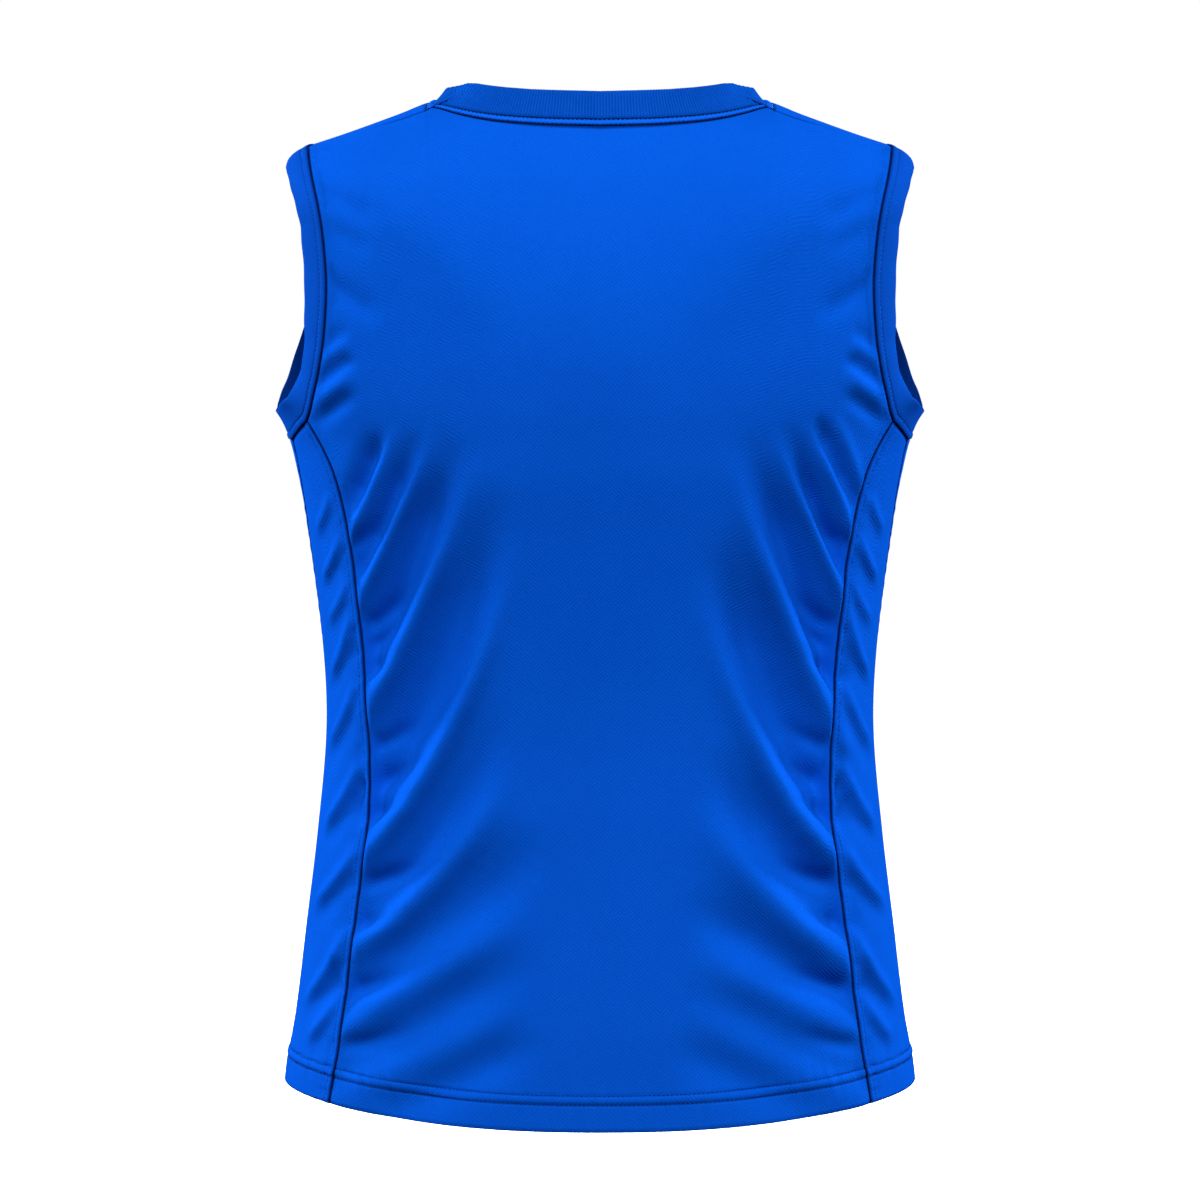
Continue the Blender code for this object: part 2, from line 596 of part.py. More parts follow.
def panel(name, grid, creases, material, ridge=None):
    """A cut panel: its outer grid, the same grid one wall further in, and the four edges.

    The quads are split along the way the folds run, from low outside to high inside.
    """
    rows, columns = grid.shape[:2]
    points, normals = cloth(grid[..., 0], grid[..., 1], creases)
    run = np.cross(points[0, 1] - points[0, 0], points[1, 0] - points[0, 0]) @ normals[0, 0]
    points = shrink_for_seams(points, normals, run > 0)
    walls = np.where(np.arange(rows) <= HEM_ROWS, HEM_WALL, PANEL_WALL)[:, None, None]
    inner = points - walls * normals
    outer = points if ridge is None else points + ridge[None, :, None] * normals
    vertices = np.concatenate([outer.reshape(-1, 3), inner.reshape(-1, 3)])
    depth = rows * columns
    faces = []
    for i in range(rows - 1):
        for j in range(columns - 1):
            low = i * columns + j
            high = low + columns
            corner = (low, low + 1, high + 1, high)
            leaning = abs(points[i, j, 0]) > abs(points[i, j + 1, 0])
            for base, turn in ((0, 1), (depth, -1)):
                a, b, c, d = (base + k for k in corner)
                halves = ((a, b, c), (a, c, d)) if leaning else ((a, b, d), (b, c, d))
                faces.extend(half[::turn] for half in halves)
    ring = [i * columns + j for i, j in zip(*border(rows, columns))]
    for k, first in enumerate(ring):
        second = ring[(k + 1) % len(ring)]
        faces.append((first, depth + first, depth + second, second))
    return make_object(name, vertices, faces, material)


def strip_frame(loop, normals):
    """Half a seam's gap off a closed line, into its hole, and the directions across a strip there.

    The directions are averaged over their neighbourhood, so the strip turns corners softly.
    """
    tangent = unit(np.roll(loop, -1, axis=0) - np.roll(loop, 1, axis=0))
    across = unit(np.cross(normals, tangent))
    hand = 1.0 if np.sum(across * (loop.mean(axis=0) - loop)) > 0 else -1.0
    lengths = np.linalg.norm(np.roll(loop, -1, axis=0) - loop, axis=1)
    places = np.concatenate([[0.0], np.cumsum(lengths[:-1])])
    apart = np.abs(places[:, None] - places[None])
    apart = np.minimum(apart, lengths.sum() - apart)
    weights = np.exp(-(apart / STRIP_SOFTNESS) ** 2) * (lengths + np.roll(lengths, 1))[None]
    across = weights @ (across * hand)
    across = unit(across - np.sum(across * normals, axis=1, keepdims=True) * normals)
    return inset(loop, normals, hand * SEAM_GAP / 2), across


def strip_points(loop, across, normals, profile, bend, width):
    """Carry a strip's cross-section along a line.

    The strip leaves the cloth in its plane and turns more and more: by the bend (radians,
    outwards) times the square of the share of its width. Its run forward and up is that
    turn's cosine and sine summed over the way, as the first terms of their series. A profile
    point is (distance across, height over the strip's middle line).
    """
    rings = []
    for reach, height in profile:
        share = reach / width
        turn = bend * share ** 2
        forward = width * (share - bend ** 2 * share ** 5 / 10 + bend ** 4 * share ** 9 / 216)
        upward = width * (bend * share ** 3 / 3 - bend ** 3 * share ** 7 / 42)
        forward = forward - height * np.sin(turn)
        upward = upward + height * np.cos(turn)
        rings.append(loop + forward[:, None] * across + upward[:, None] * normals)
    return np.array(rings)


def ring_object(name, rings, material):
    """A closed tube-like object from rings of equal length, the last joined to the first."""
    count, length = rings.shape[:2]
    faces = []
    for i in range(count):
        for j in range(length):
            a = i * length + j
            b = i * length + (j + 1) % length
            c = ((i + 1) % count) * length + (j + 1) % length
            d = ((i + 1) % count) * length + j
            faces.append((a, b, c, d))
    return make_object(name, rings.reshape(-1, 3), faces, material)


# ---------------------------------------------------------------- the trims

def armhole_loop(hand, creases):
    """Points, normals and bends round a left or right armhole, from the shoulder seam back and down."""
    back = back_side_places()[1][::-1]
    under = side_grid(1)[-1]
    front = front_side_places()[1] - np.array([360.0, 0.0])
    places = np.concatenate([back[:-1], under[:-1], front[:-1]])
    bends = np.concatenate([
        np.interp(np.linspace(0, 1, len(back) - 1), *np.transpose(BAND_BEND_BACK)),
        np.full(len(under) - 1, BAND_BEND_UNDERARM),
        np.interp(np.linspace(0, 1, len(front) - 1), *np.transpose(BAND_BEND_FRONT)),
    ])
    if hand < 0:
        places[:, 0] = 180.0 - places[:, 0]
    points, normals = cloth(places[:, 0], places[:, 1], creases)
    return points, normals, np.radians(bends)


def armhole_band(name, hand, creases, material):
    """The folded band round an armhole, with its rolled ridge next to the seam."""
    loop, normals, bend = armhole_loop(hand, creases)
    loop, across = strip_frame(loop, normals)
    edge = BAND_WIDTH - BAND_WALL / 2
    profile = (
        (0.0, BAND_ROLL), (BAND_ROLL_WIDTH, BAND_ROLL), (BAND_ROLL_WIDTH + BAND_ROLL_SLOPE, 0.0),
        (edge * BAND_MIDDLE, 0.0), (edge, 0.0), (BAND_WIDTH, -BAND_WALL / 2), (edge, -BAND_WALL),
        (edge / 2, -BAND_WALL), (0.0, -BAND_WALL),
    )
    return ring_object(name, strip_points(loop, across, normals, profile, bend, BAND_WIDTH), material)


def neck_loop(creases):
    """Points and normals round the neckline, from the middle of the back to the left and round."""
    back = back_top_places()[:NECK_COLUMNS_BACK + 1]
    front = front_top_places()[:NECK_COLUMNS_FRONT + 1][::-1]
    half = np.concatenate([back[:-1], front])
    points, normals = cloth(half[:, 0], half[:, 1], creases)
    flip = np.array([-1.0, 1.0, 1.0])
    points = np.concatenate([points, points[-2:0:-1] * flip])
    normals = np.concatenate([normals, normals[-2:0:-1] * flip])
    points[0, 0] = 0.0
    return points, normals


def neck_strip(creases):
    """The neckline's loop, the directions across it and up from it, and its rise at each point."""
    loop, normals = neck_loop(creases)
    loop, across = strip_frame(loop, normals)
    rise = np.radians(np.interp(loop[:, 1], *np.transpose(COLLAR_RISE)))
    return loop, across, normals, rise


def neck_tape(creases, material):
    """The narrow tape that covers the neck seam, between the panels and the collar."""
    loop, across, normals, rise = neck_strip(creases)
    width = TAPE_WIDTH - SEAM_GAP
    profile = (
        (0.0, TAPE_RAISE * TAPE_EDGE), (TAPE_BEVEL, TAPE_RAISE), (width - TAPE_BEVEL, TAPE_RAISE),
        (width, TAPE_RAISE * TAPE_EDGE), (width, -BAND_WALL), (0.0, -BAND_WALL),
    )
    rings = strip_points(loop, across, normals, profile, rise * TAPE_LEAN, TAPE_WIDTH)
    return ring_object("neck_tape", rings, material)


def collar(creases, material):
    """The ribbed collar: fine ribs in its outer face over a plain inner face.

    A strip climbs by a third of its bend, so the collar's roll is three times its share of
    the rise.
    """
    loop, across, normals, rise = neck_strip(creases)
    loop = strip_points(loop, across, normals, ((TAPE_WIDTH, 0.0),), rise * TAPE_LEAN, TAPE_WIDTH)[0]
    lean = rise * (TAPE_LEAN + COLLAR_FOLD)
    rise = rise * 3 * (1 - COLLAR_FOLD)
    turned = across * np.cos(lean)[:, None] + normals * np.sin(lean)[:, None]
    upright = normals * np.cos(lean)[:, None] - across * np.sin(lean)[:, None]
    loop = loop + turned * SEAM_GAP / 2
    edge = COLLAR_WIDTH - BAND_WALL / 2
    inside = ((edge, -BAND_WALL), (edge / 2, -BAND_WALL), (0.0, -BAND_WALL))
    plain = strip_points(loop, turned, upright, inside, rise, COLLAR_WIDTH)
    base = strip_points(loop, turned, upright, ((0.0, 0.0),), rise, COLLAR_WIDTH)
    lip = strip_points(loop, turned, upright, ((COLLAR_WIDTH, -BAND_WALL / 2),), rise, COLLAR_WIDTH)
    length = len(loop)
    waves = 2 * RIB_COUNT        # a ridge and a groove for each rib
    place = np.arange(waves) * length / waves
    first = np.floor(place).astype(int)
    share = (place - first)[:, None]
    second = (first + 1) % length
    ribbed = [
        between * (1 - share) + following * share
        for between, following in ((line[first], line[second]) for line in (loop, turned, upright))
    ]
    rib_rise = rise[first] * (1 - share[:, 0]) + rise[second] * share[:, 0]
    relief = np.where(np.arange(waves) % 2 == 0, RIB_RELIEF, -RIB_RELIEF)
    levels = [
        strip_points(*ribbed, ((reach, 0.0),), rib_rise, COLLAR_WIDTH)[0] + relief[:, None] * ribbed[2]
        for reach in (RIBS_BEGIN, edge)
    ]
    parts = [base[0], levels[0], levels[1], lip[0], plain[0], plain[1], plain[2]]
    starts = np.concatenate([[0], np.cumsum([len(part) for part in parts])])
    faces = []
    for k, part in enumerate(parts):
        after = parts[(k + 1) % len(parts)]
        faces += bridge(starts[k], len(part), starts[(k + 1) % len(parts)], len(after))
    return make_object("collar", np.concatenate(parts), faces, material)


def bridge(start_a, count_a, start_b, count_b):
    """Faces between two closed rings; where one has more points, its extra ones fan out."""
    if count_a == count_b:
        return [(int(start_a + j), int(start_a + (j + 1) % count_a), int(start_b + (j + 1) % count_b),
                 int(start_b + j)) for j in range(count_a)]
    faces = []
    i = j = 0
    while i < count_a or j < count_b:
        a, b = int(start_a + i % count_a), int(start_b + j % count_b)
        if (i + 1) / count_a <= (j + 1) / count_b and i < count_a or j >= count_b:
            faces.append((a, int(start_a + (i + 1) % count_a), b))
            i += 1
        else:
            faces.append((a, int(start_b + (j + 1) % count_b), b))
            j += 1
    return faces


# ---------------------------------------------------------------- building

def fabric(name, colour):
    """A matt cloth material."""
    material = bpy.data.materials.new(name)
    material.use_nodes = True
    shader = material.node_tree.nodes["Principled BSDF"]
    shader.inputs["Base Color"].default_value = (*colour, 1.0)
    shader.inputs["Roughness"].default_value = KNIT_ROUGHNESS
    shader.inputs["Metallic"].default_value = 0.0
    return material


def clear_scene():
    """Empty the scene and make the jersey's collection."""
    for leftover in list(bpy.data.objects):
        bpy.data.objects.remove(leftover, do_unlink=True)
    group = bpy.data.collections.new("football_jersey")
    bpy.context.scene.collection.children.link(group)


def main():
    """Build the jersey's eight sewn pieces."""
    clear_scene()
    creases = all_creases()
    back_grid = body_grid(
        back_side_places(), back_top_places(), BACK_MIDDLE, NECK_COLUMNS_BACK, BACK_NECK_SHARE)
    front_grid = body_grid(
        front_side_places(), front_top_places(), FRONT_MIDDLE, NECK_COLUMNS_FRONT, FRONT_NECK_SHARE)
    panel("back", back_grid, creases, fabric("back_knit", PANEL_COLOUR))
    panel("front", front_grid, creases, fabric("front_knit", PANEL_COLOUR))
    ridge = np.where(np.array(SIDE_STATIONS) < SEAM_RIDGE_SHARE, SEAM_RIDGE, 0.0)
    panel("side_left", side_grid(1), creases, fabric("side_left_knit", PANEL_COLOUR), ridge)
    panel("side_right", side_grid(-1), creases, fabric("side_right_knit", PANEL_COLOUR), ridge)
    armhole_band("armhole_band_left", 1, creases, fabric("band_left_knit", TRIM_COLOUR))
    armhole_band("armhole_band_right", -1, creases, fabric("band_right_knit", TRIM_COLOUR))
    neck_tape(creases, fabric("tape_knit", TRIM_COLOUR))
    collar(creases, fabric("collar_rib", RIB_COLOUR))


main()
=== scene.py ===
"""The looks of a sleeveless football jersey in royal blue knit, filled out as if worn.

Metres, +Z up. The front faces -Y and the wearer's left is +X. The origin lies at the base of
the neck, midway between the two side neck points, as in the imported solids.

Every cut piece is a patch of one torso form. A place on the form is an angle in degrees round
the body (0 the left side, 90 the middle of the back, 270 the middle of the front) and a
height, which goes on counting along the cloth where the form rolls over the shoulder. The
pieces are thin closed shells: a fine grid of outer points that carries the folds, the rolled
edges, the needle lines and the felled seams, and the same grid one wall further in.
"""

import logging
import math
from dataclasses import dataclass, replace
from enum import Enum

import bpy
import numpy as np
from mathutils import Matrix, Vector


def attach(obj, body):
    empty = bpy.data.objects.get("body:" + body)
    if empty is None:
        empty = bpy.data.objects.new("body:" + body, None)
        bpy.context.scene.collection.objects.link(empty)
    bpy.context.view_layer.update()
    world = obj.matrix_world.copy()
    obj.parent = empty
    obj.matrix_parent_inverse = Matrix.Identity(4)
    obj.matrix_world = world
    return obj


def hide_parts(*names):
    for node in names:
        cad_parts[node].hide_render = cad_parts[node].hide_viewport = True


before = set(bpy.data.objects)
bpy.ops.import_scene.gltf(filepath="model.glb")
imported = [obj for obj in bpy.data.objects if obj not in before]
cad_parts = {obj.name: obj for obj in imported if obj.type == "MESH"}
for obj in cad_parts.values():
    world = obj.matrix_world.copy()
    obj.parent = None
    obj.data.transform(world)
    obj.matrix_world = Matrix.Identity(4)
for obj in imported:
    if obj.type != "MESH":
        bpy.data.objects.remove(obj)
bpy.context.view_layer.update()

log = logging.getLogger("jersey")
Array = np.ndarray
Couple = tuple[Array, Array]            # two that belong together, as points and normals
Two = tuple[float, float]
Three = tuple[float, float, float]
Thing = bpy.types.Object
TINY = 1e-9                             # keeps a division from one by nothing
METRE = 1000.0                          # in mm, for the tables that are written in them


# ---- small tools

class Hand(Enum):
    """The half of the garment that a piece is on, as the sign of its X."""

    LEFT = 1
    RIGHT = -1

    @property
    def label(self) -> str:
        """The half's name in lower case, for pieces' names."""
        return self.name.lower()


class Facing(Enum):
    """The side of the garment that a panel or a fold is on."""

    BACK = "back"
    FRONT = "front"


FULL_TURN = np.array([360.0, 0.0])      # a place's angle and height once round the body


def smooth(places: Array, values: Array, at: Array) -> Array:
    """Read a table on a cubic through its rows.

    The curve is the Hermite cubic of each stretch, and a row's slope is that of its
    neighbours.

    Args:
        places: the rows' places, rising.
        values: the rows' values.
        at: where to read; past an end the end's value holds.

    Returns:
        The values there, in the shape of at.
    """
    places = np.asarray(places, float)
    values = np.asarray(values, float)
    at = np.clip(np.asarray(at, float), places[0], places[-1])
    slopes = np.gradient(values, places)
    row = np.clip(np.searchsorted(places, at, side="right") - 1, 0, len(places) - 2)
    span = places[row + 1] - places[row]
    u = (at - places[row]) / span
    start = values[row] * (1 + 2 * u) * (1 - u) ** 2 + slopes[row] * span * u * (1 - u) ** 2
    end = values[row + 1] * u ** 2 * (3 - 2 * u) + slopes[row + 1] * span * u ** 2 * (u - 1)
    return start + end


def unit(vectors: Array) -> Array:
    """Vectors brought to length one."""
    return vectors / np.maximum(np.linalg.norm(vectors, axis=-1, keepdims=True), TINY)


def pair(first: Array, second: Array) -> Array:
    """Two arrays as the last axis of one."""
    return np.stack([first, second], axis=-1)


def step_down(distance: Array, at: float, slope: float) -> Array:
    """One before a distance and nothing after it, by a smooth step that is slope wide."""
    u = np.clip((distance - at) / slope + 0.5, 0.0, 1.0)
    return 1 - u * u * (3 - 2 * u)


def ripple(waves: tuple[Three, ...], turn: Array) -> Array:
    """A sum of sine waves, each with its height, how often it turns and where it starts."""
    return sum(high * np.sin(often * turn + start) for high, often, start in waves)


def run_along(points: Array, axis: int) -> Array:
    """The length of cloth from the first row or column to each point of a grid.

    Args:
        points: a grid of points.
        axis: the grid's axis that the length is summed along.

    Returns:
        The summed lengths of the steps, in the grid's shape.
    """
    steps = np.linalg.norm(np.diff(points, axis=axis), axis=-1)
    summed = np.cumsum(steps, axis=axis)
    start = np.zeros_like(np.take(summed, [0], axis=axis))
    return np.concatenate([start, summed], axis=axis)


def closed_run(points: Array) -> Array:
    """Metres along a line that closes on itself, one more than it has points."""
    return run_along(np.concatenate([points, points[:1]]), 0)


@dataclass(frozen=True)
class Table:
    """A short table with named columns.

    Attributes:
        columns: the columns' names; the first is the one that rows are found by.
        rows: the rows, in rising order of the first column.
    """

    columns: tuple[str, ...]
    rows: tuple[tuple[float, ...], ...]

    def column(self, name: str) -> Array:
        """One column's values, by name."""
        return np.array([row[self.columns.index(name)] for row in self.rows])

    def read(self, name: str, at: Array) -> Array:
        """A column's value at a place in the first column, on a smooth curve."""
        return smooth(self.column(self.columns[0]), self.column(name), at)


# ---- the torso form

@dataclass(frozen=True)
class TorsoForm:
    """The filled-out torso that the cloth lies on.

    Attributes:
        power: squareness of the level sections, which are superellipses.
        sections: half width and the two depths at each height.
        shoulders: the ridge's height and how far each side rolls to it, by distance from
            the middle.
        angle_step: degrees either side of a place between which its normal is measured.
        height_step: the same in metres.
    """

    power: float = 2.3
    sections: Table = Table(
        ("height", "half_width", "back_depth", "front_depth"),
        (
            (-0.662, 0.2105, 0.113, 0.108), (-0.640, 0.2086, 0.111, 0.107),
            (-0.600, 0.2019, 0.108, 0.105), (-0.540, 0.1943, 0.103, 0.102),
            (-0.480, 0.1868, 0.099, 0.100), (-0.400, 0.1805, 0.097, 0.101),
            (-0.340, 0.1842, 0.102, 0.108), (-0.280, 0.1920, 0.110, 0.117),
            (-0.2415, 0.1989, 0.116, 0.123), (-0.2205, 0.2041, 0.118, 0.125),
            (-0.199, 0.2135, 0.120, 0.126), (-0.175, 0.2195, 0.121, 0.126),
            (-0.150, 0.2220, 0.121, 0.125), (-0.100, 0.2220, 0.121, 0.123),
            (0.150, 0.2220, 0.121, 0.120),
        ),
    )
    shoulders: Table = Table(
        ("side", "ridge_height", "back_roll", "front_roll"),
        (
            (0.0000, 0.0186, 0.200, 0.200), (0.0500, 0.0140, 0.180, 0.185),
            (0.0800, 0.0060, 0.145, 0.155), (0.1000, 0.0012, 0.115, 0.130),
            (0.1125, -0.0010, 0.100, 0.115), (0.1277, -0.0070, 0.085, 0.100),
            (0.1487, -0.0148, 0.068, 0.085), (0.1710, -0.0226, 0.056, 0.070),
            (0.1895, -0.0286, 0.050, 0.060), (0.2150, -0.0375, 0.045, 0.055),
        ),
    )
    angle_step: float = 0.2
    height_step: float = 0.0008

    def shoulder(self, name: str, side: Array) -> Array:
        """One size of the shoulder line at a distance from the middle."""
        return self.shoulders.read(name, np.abs(side))

    def point(self, angle: Array, height: Array) -> Array:
        """Points of the form.

        Below the shoulder a point lies on a superellipse: half width times the cosine and
        depth times the sine, each to the power 2 / power. From one roll under the ridge it
        follows a quarter ellipse up to the ridge, and past it the other side's quarter.

        Args:
            angle: degrees round the body.
            height: height along the cloth.

        Returns:
            The points, with one more axis for x, y and z.
        """
        angle, height = np.broadcast_arrays(np.asarray(angle, float), np.asarray(height, float))
        cosine = np.cos(np.radians(angle))
        sine = np.sin(np.radians(angle))
        x = self.sections.read("half_width", height) * np.sign(cosine)
        x = x * np.abs(cosine) ** (2 / self.power)
        reach = np.abs(sine) ** (2 / self.power)
        back = sine >= 0
        depths = (self.sections.read("back_depth", height) * reach,
                  self.sections.read("front_depth", height) * reach)
        rolls = (self.shoulder("back_roll", x), self.shoulder("front_roll", x))
        ridge = self.shoulder("ridge_height", x)
        roll = np.where(back, *rolls)
        other_roll = np.where(back, *rolls[::-1])
        climb = (height - (ridge - roll)) / roll
        turn = np.clip(climb, 0.0, math.pi / 2)
        past = np.clip((climb - math.pi / 2) * roll / other_roll, 0.0, math.pi / 2)
        y = np.where(back, *depths) * np.cos(turn) - np.where(back, *depths[::-1]) * np.sin(past)
        over = ridge - roll * (1 - np.sin(turn)) - other_roll * (1 - np.cos(past))
        return np.stack([x, np.where(back, y, -y), np.where(climb > 0, over, height)], axis=-1)

    def normal(self, angle: Array, height: Array) -> Array:
        """Outward unit normals: the cross product of the form's change each way.

        Args:
            angle: degrees round the body.
            height: height along the cloth.

        Returns:
            The normals, with one more axis.
        """
        turn, rise = self.angle_step, self.height_step
        round_body = self.point(angle + turn, height) - self.point(angle - turn, height)
        up_body = self.point(angle, height + rise) - self.point(angle, height - rise)
        return unit(np.cross(round_body, up_body))

    def cloth_run(self, places: Array, axis: int) -> Array:
        """Metres of cloth from the first row or column of a grid of places."""
        return run_along(self.point(places[..., 0], places[..., 1]), axis)

    def angle_at(self, side: Array, height: Array) -> Array:
        """The angle, from the left side on, at which the form is this far from the middle."""
        share = np.clip(np.asarray(side) / self.sections.read("half_width", height), 0.0, 1.0)
        return np.degrees(np.arccos(share ** (self.power / 2)))

    def back_place(self, side: Array, level: Array) -> Array:
        """Places on the back of points seen at a distance from the middle and a level.

        On the roll, the height along the cloth is its foot plus the roll times the arc
        whose sine is the share of the roll that the level has risen.

        Args:
            side: distance from the middle.
            level: the point's z.

        Returns:
            Pairs of angle and height.
        """
        side, level = np.asarray(side, float), np.asarray(level, float)
        roll = self.shoulder("back_roll", side)
        foot = self.shoulder("ridge_height", side) - roll
        over = np.clip((level - foot) / roll, 0.0, 1.0)
        height = np.where(level > foot, foot + roll * np.arcsin(over), level)
        return pair(self.angle_at(side, height), height)


# ---- folds

@dataclass(frozen=True)
class FoldSet:
    """Folds of one part of the garment.

    Attributes:
        rows: a row for each fold, in mm: three places along its spine as distance from the
            middle and height, its half width, and how far it stands out; a trough is
            negative.
        hands: the halves of the garment that have them.
        facing: the side of it they are on.
        fades: share of a fold's length over which it runs out.
    """

    rows: tuple[tuple[float, ...], ...]
    hands: tuple[Hand, ...] = (Hand.LEFT, Hand.RIGHT)
    facing: Facing = Facing.BACK
    fades: float = 0.44


FOLDS = (
    # the left half's large folds: crests, then troughs
    FoldSet((
        (160, -287, 147, -250, 126, -206, 4.0, 1.4), (154, -323, 133, -275, 102, -206, 5.3, 1.6),
        (151, -398, 117, -326, 78, -222, 8.2, 2.5), (155, -492, 96, -405, 55, -282, 8.6, 3.2),
        (166, -555, 99, -494, 55, -424, 10.1, 2.1), (167, -603, 110, -560, 40, -515, 14.3, 2.5),
        (162, -640, 101, -610, 45, -577, 15.8, 0.8), (159, -261, 149, -239, 137, -210, 6.6, -2.8),
        (155, -302, 134, -258, 115, -209, 6.4, -3.3), (148, -361, 117, -290, 88, -209, 10.9, -4.5),
        (151, -456, 99, -355, 63, -238, 14.1, -4.5), (156, -528, 105, -471, 59, -385, 10.0, -2.6),
        (162, -581, 84, -522, 45, -459, 16.9, -3.1), (162, -619, 98, -585, 34, -541, 15.5, -2.3),
        (129, -647, 79, -622, 35, -596, 13.9, -2.2),
    ), hands=(Hand.LEFT,)),
    # the right half's
    FoldSet((
        (171, -259, 159, -226, 145, -200, 4.0, 0.8), (161, -288, 151, -250, 127, -203, 4.0, 1.4),
        (159, -333, 137, -276, 107, -207, 5.2, 1.8), (156, -418, 117, -326, 79, -219, 9.0, 2.6),
        (156, -492, 109, -430, 62, -302, 10.1, 3.4), (163, -560, 103, -506, 61, -446, 13.2, 2.5),
        (164, -609, 107, -571, 48, -544, 16.8, 1.6), (162, -643, 103, -612, 46, -580, 17.2, 1.3),
        (162, -258, 147, -226, 137, -201, 4.4, -1.9), (158, -303, 139, -262, 117, -205, 5.6, -3.9),
        (153, -375, 123, -297, 91, -209, 9.4, -4.5), (152, -463, 103, -368, 78, -270, 14.0, -4.5),
        (158, -533, 108, -477, 74, -411, 13.0, -3.1), (164, -581, 102, -548, 56, -503, 13.4, -2.9),
        (162, -623, 109, -598, 51, -561, 15.3, -2.0), (129, -643, 83, -622, 38, -602, 15.6, -1.9),
    ), hands=(Hand.RIGHT,)),
    # round the armholes and on the shoulders
    FoldSet((
        (178, -58, 158, -71, 135, -84, 7.2, -1.2), (170, -87, 156, -94, 144, -104, 5.4, -0.5),
        (172, -119, 155, -132, 134, -144, 7.2, -1.1), (175, -159, 167, -153, 158, -149, 4.8, -0.6),
        (178, -170, 167, -162, 156, -158, 5.6, 0.6), (178, -182, 165, -173, 154, -165, 4.8, -1.0),
        (181, -195, 166, -184, 153, -175, 6.7, 1.0), (180, -208, 167, -198, 154, -187, 4.8, -0.8),
        (183, -38, 151, -28, 116, -14, 4.4, 0.4),
    )),
    # across the side panels
    FoldSet((
        (175, -259, 179, -270, 186, -283, 4.0, 0.9), (168, -286, 174, -300, 182, -315, 4.2, 1.2),
        (164, -315, 170, -328, 179, -342, 4.0, 0.9), (162, -338, 168, -359, 178, -380, 4.6, 1.3),
        (159, -382, 168, -404, 180, -427, 4.8, 1.2), (158, -435, 169, -457, 183, -480, 5.2, 1.5),
        (161, -492, 174, -510, 190, -530, 5.2, 1.4), (166, -544, 179, -568, 197, -594, 5.2, 1.5),
        (171, -583, 181, -599, 194, -616, 4.8, 1.2), (175, -270, 179, -281, 186, -293, 7.5, -0.3),
        (168, -296, 174, -310, 182, -326, 7.5, -0.4), (164, -326, 170, -339, 179, -353, 7.5, -0.3),
        (162, -349, 168, -369, 178, -391, 7.5, -0.4), (159, -393, 168, -415, 180, -438, 7.5, -0.4),
        (158, -446, 169, -468, 183, -490, 7.5, -0.5), (161, -502, 174, -520, 190, -540, 7.5, -0.5),
        (166, -554, 179, -578, 197, -604, 7.5, -0.5), (171, -593, 181, -609, 194, -626, 7.5, -0.4),
    ), fades=0.35),
    # small puckers beside the side seams
    FoldSet((
        (162, -292, 152, -281, 141, -266, 4.0, -1.0), (156, -345, 140, -331, 121, -311, 4.4, -1.4),
        (155, -358, 139, -345, 118, -328, 4.0, -1.1), (154, -375, 140, -364, 124, -349, 4.2, -1.4),
        (154, -423, 136, -412, 117, -399, 4.4, -1.4), (154, -446, 130, -433, 103, -417, 5.3, -1.9),
        (154, -466, 135, -456, 111, -444, 4.4, -1.4), (157, -510, 133, -500, 106, -489, 5.0, -1.7),
        (161, -535, 142, -529, 119, -519, 4.6, -1.6), (166, -577, 140, -569, 112, -556, 5.3, -1.9),
        (172, -613, 146, -607, 118, -595, 4.8, -1.4),
    ), fades=0.8),
    # the front
    FoldSet((
        (160, -268, 130, -235, 98, -196, 12.0, 2.0), (162, -300, 128, -262, 90, -212, 12.0, -2.3),
        (165, -335, 125, -290, 84, -230, 13.0, 2.6), (165, -372, 120, -320, 74, -255, 14.0, -2.3),
        (164, -415, 115, -358, 72, -300, 14.0, 2.5), (165, -455, 112, -402, 78, -350, 13.0, -2.2),
        (168, -495, 110, -446, 72, -402, 14.0, 2.3), (172, -535, 112, -496, 64, -452, 13.0, -2.3),
        (175, -570, 116, -540, 70, -508, 13.0, 1.9), (178, -600, 112, -578, 58, -545, 13.0, -1.7),
    ), facing=Facing.FRONT),
)


@dataclass(frozen=True)
class Crease:
    """One fold's spine on the form, ready to be measured against.

    Attributes:
        spine: points along it.
        upper_width: half width on its upper side.
        lower_width: half width on its lower side.
        out: how far it stands out.
        fades: share of its length over which it runs out.
    """

    spine: Array
    upper_width: float
    lower_width: float
    out: float
    fades: float


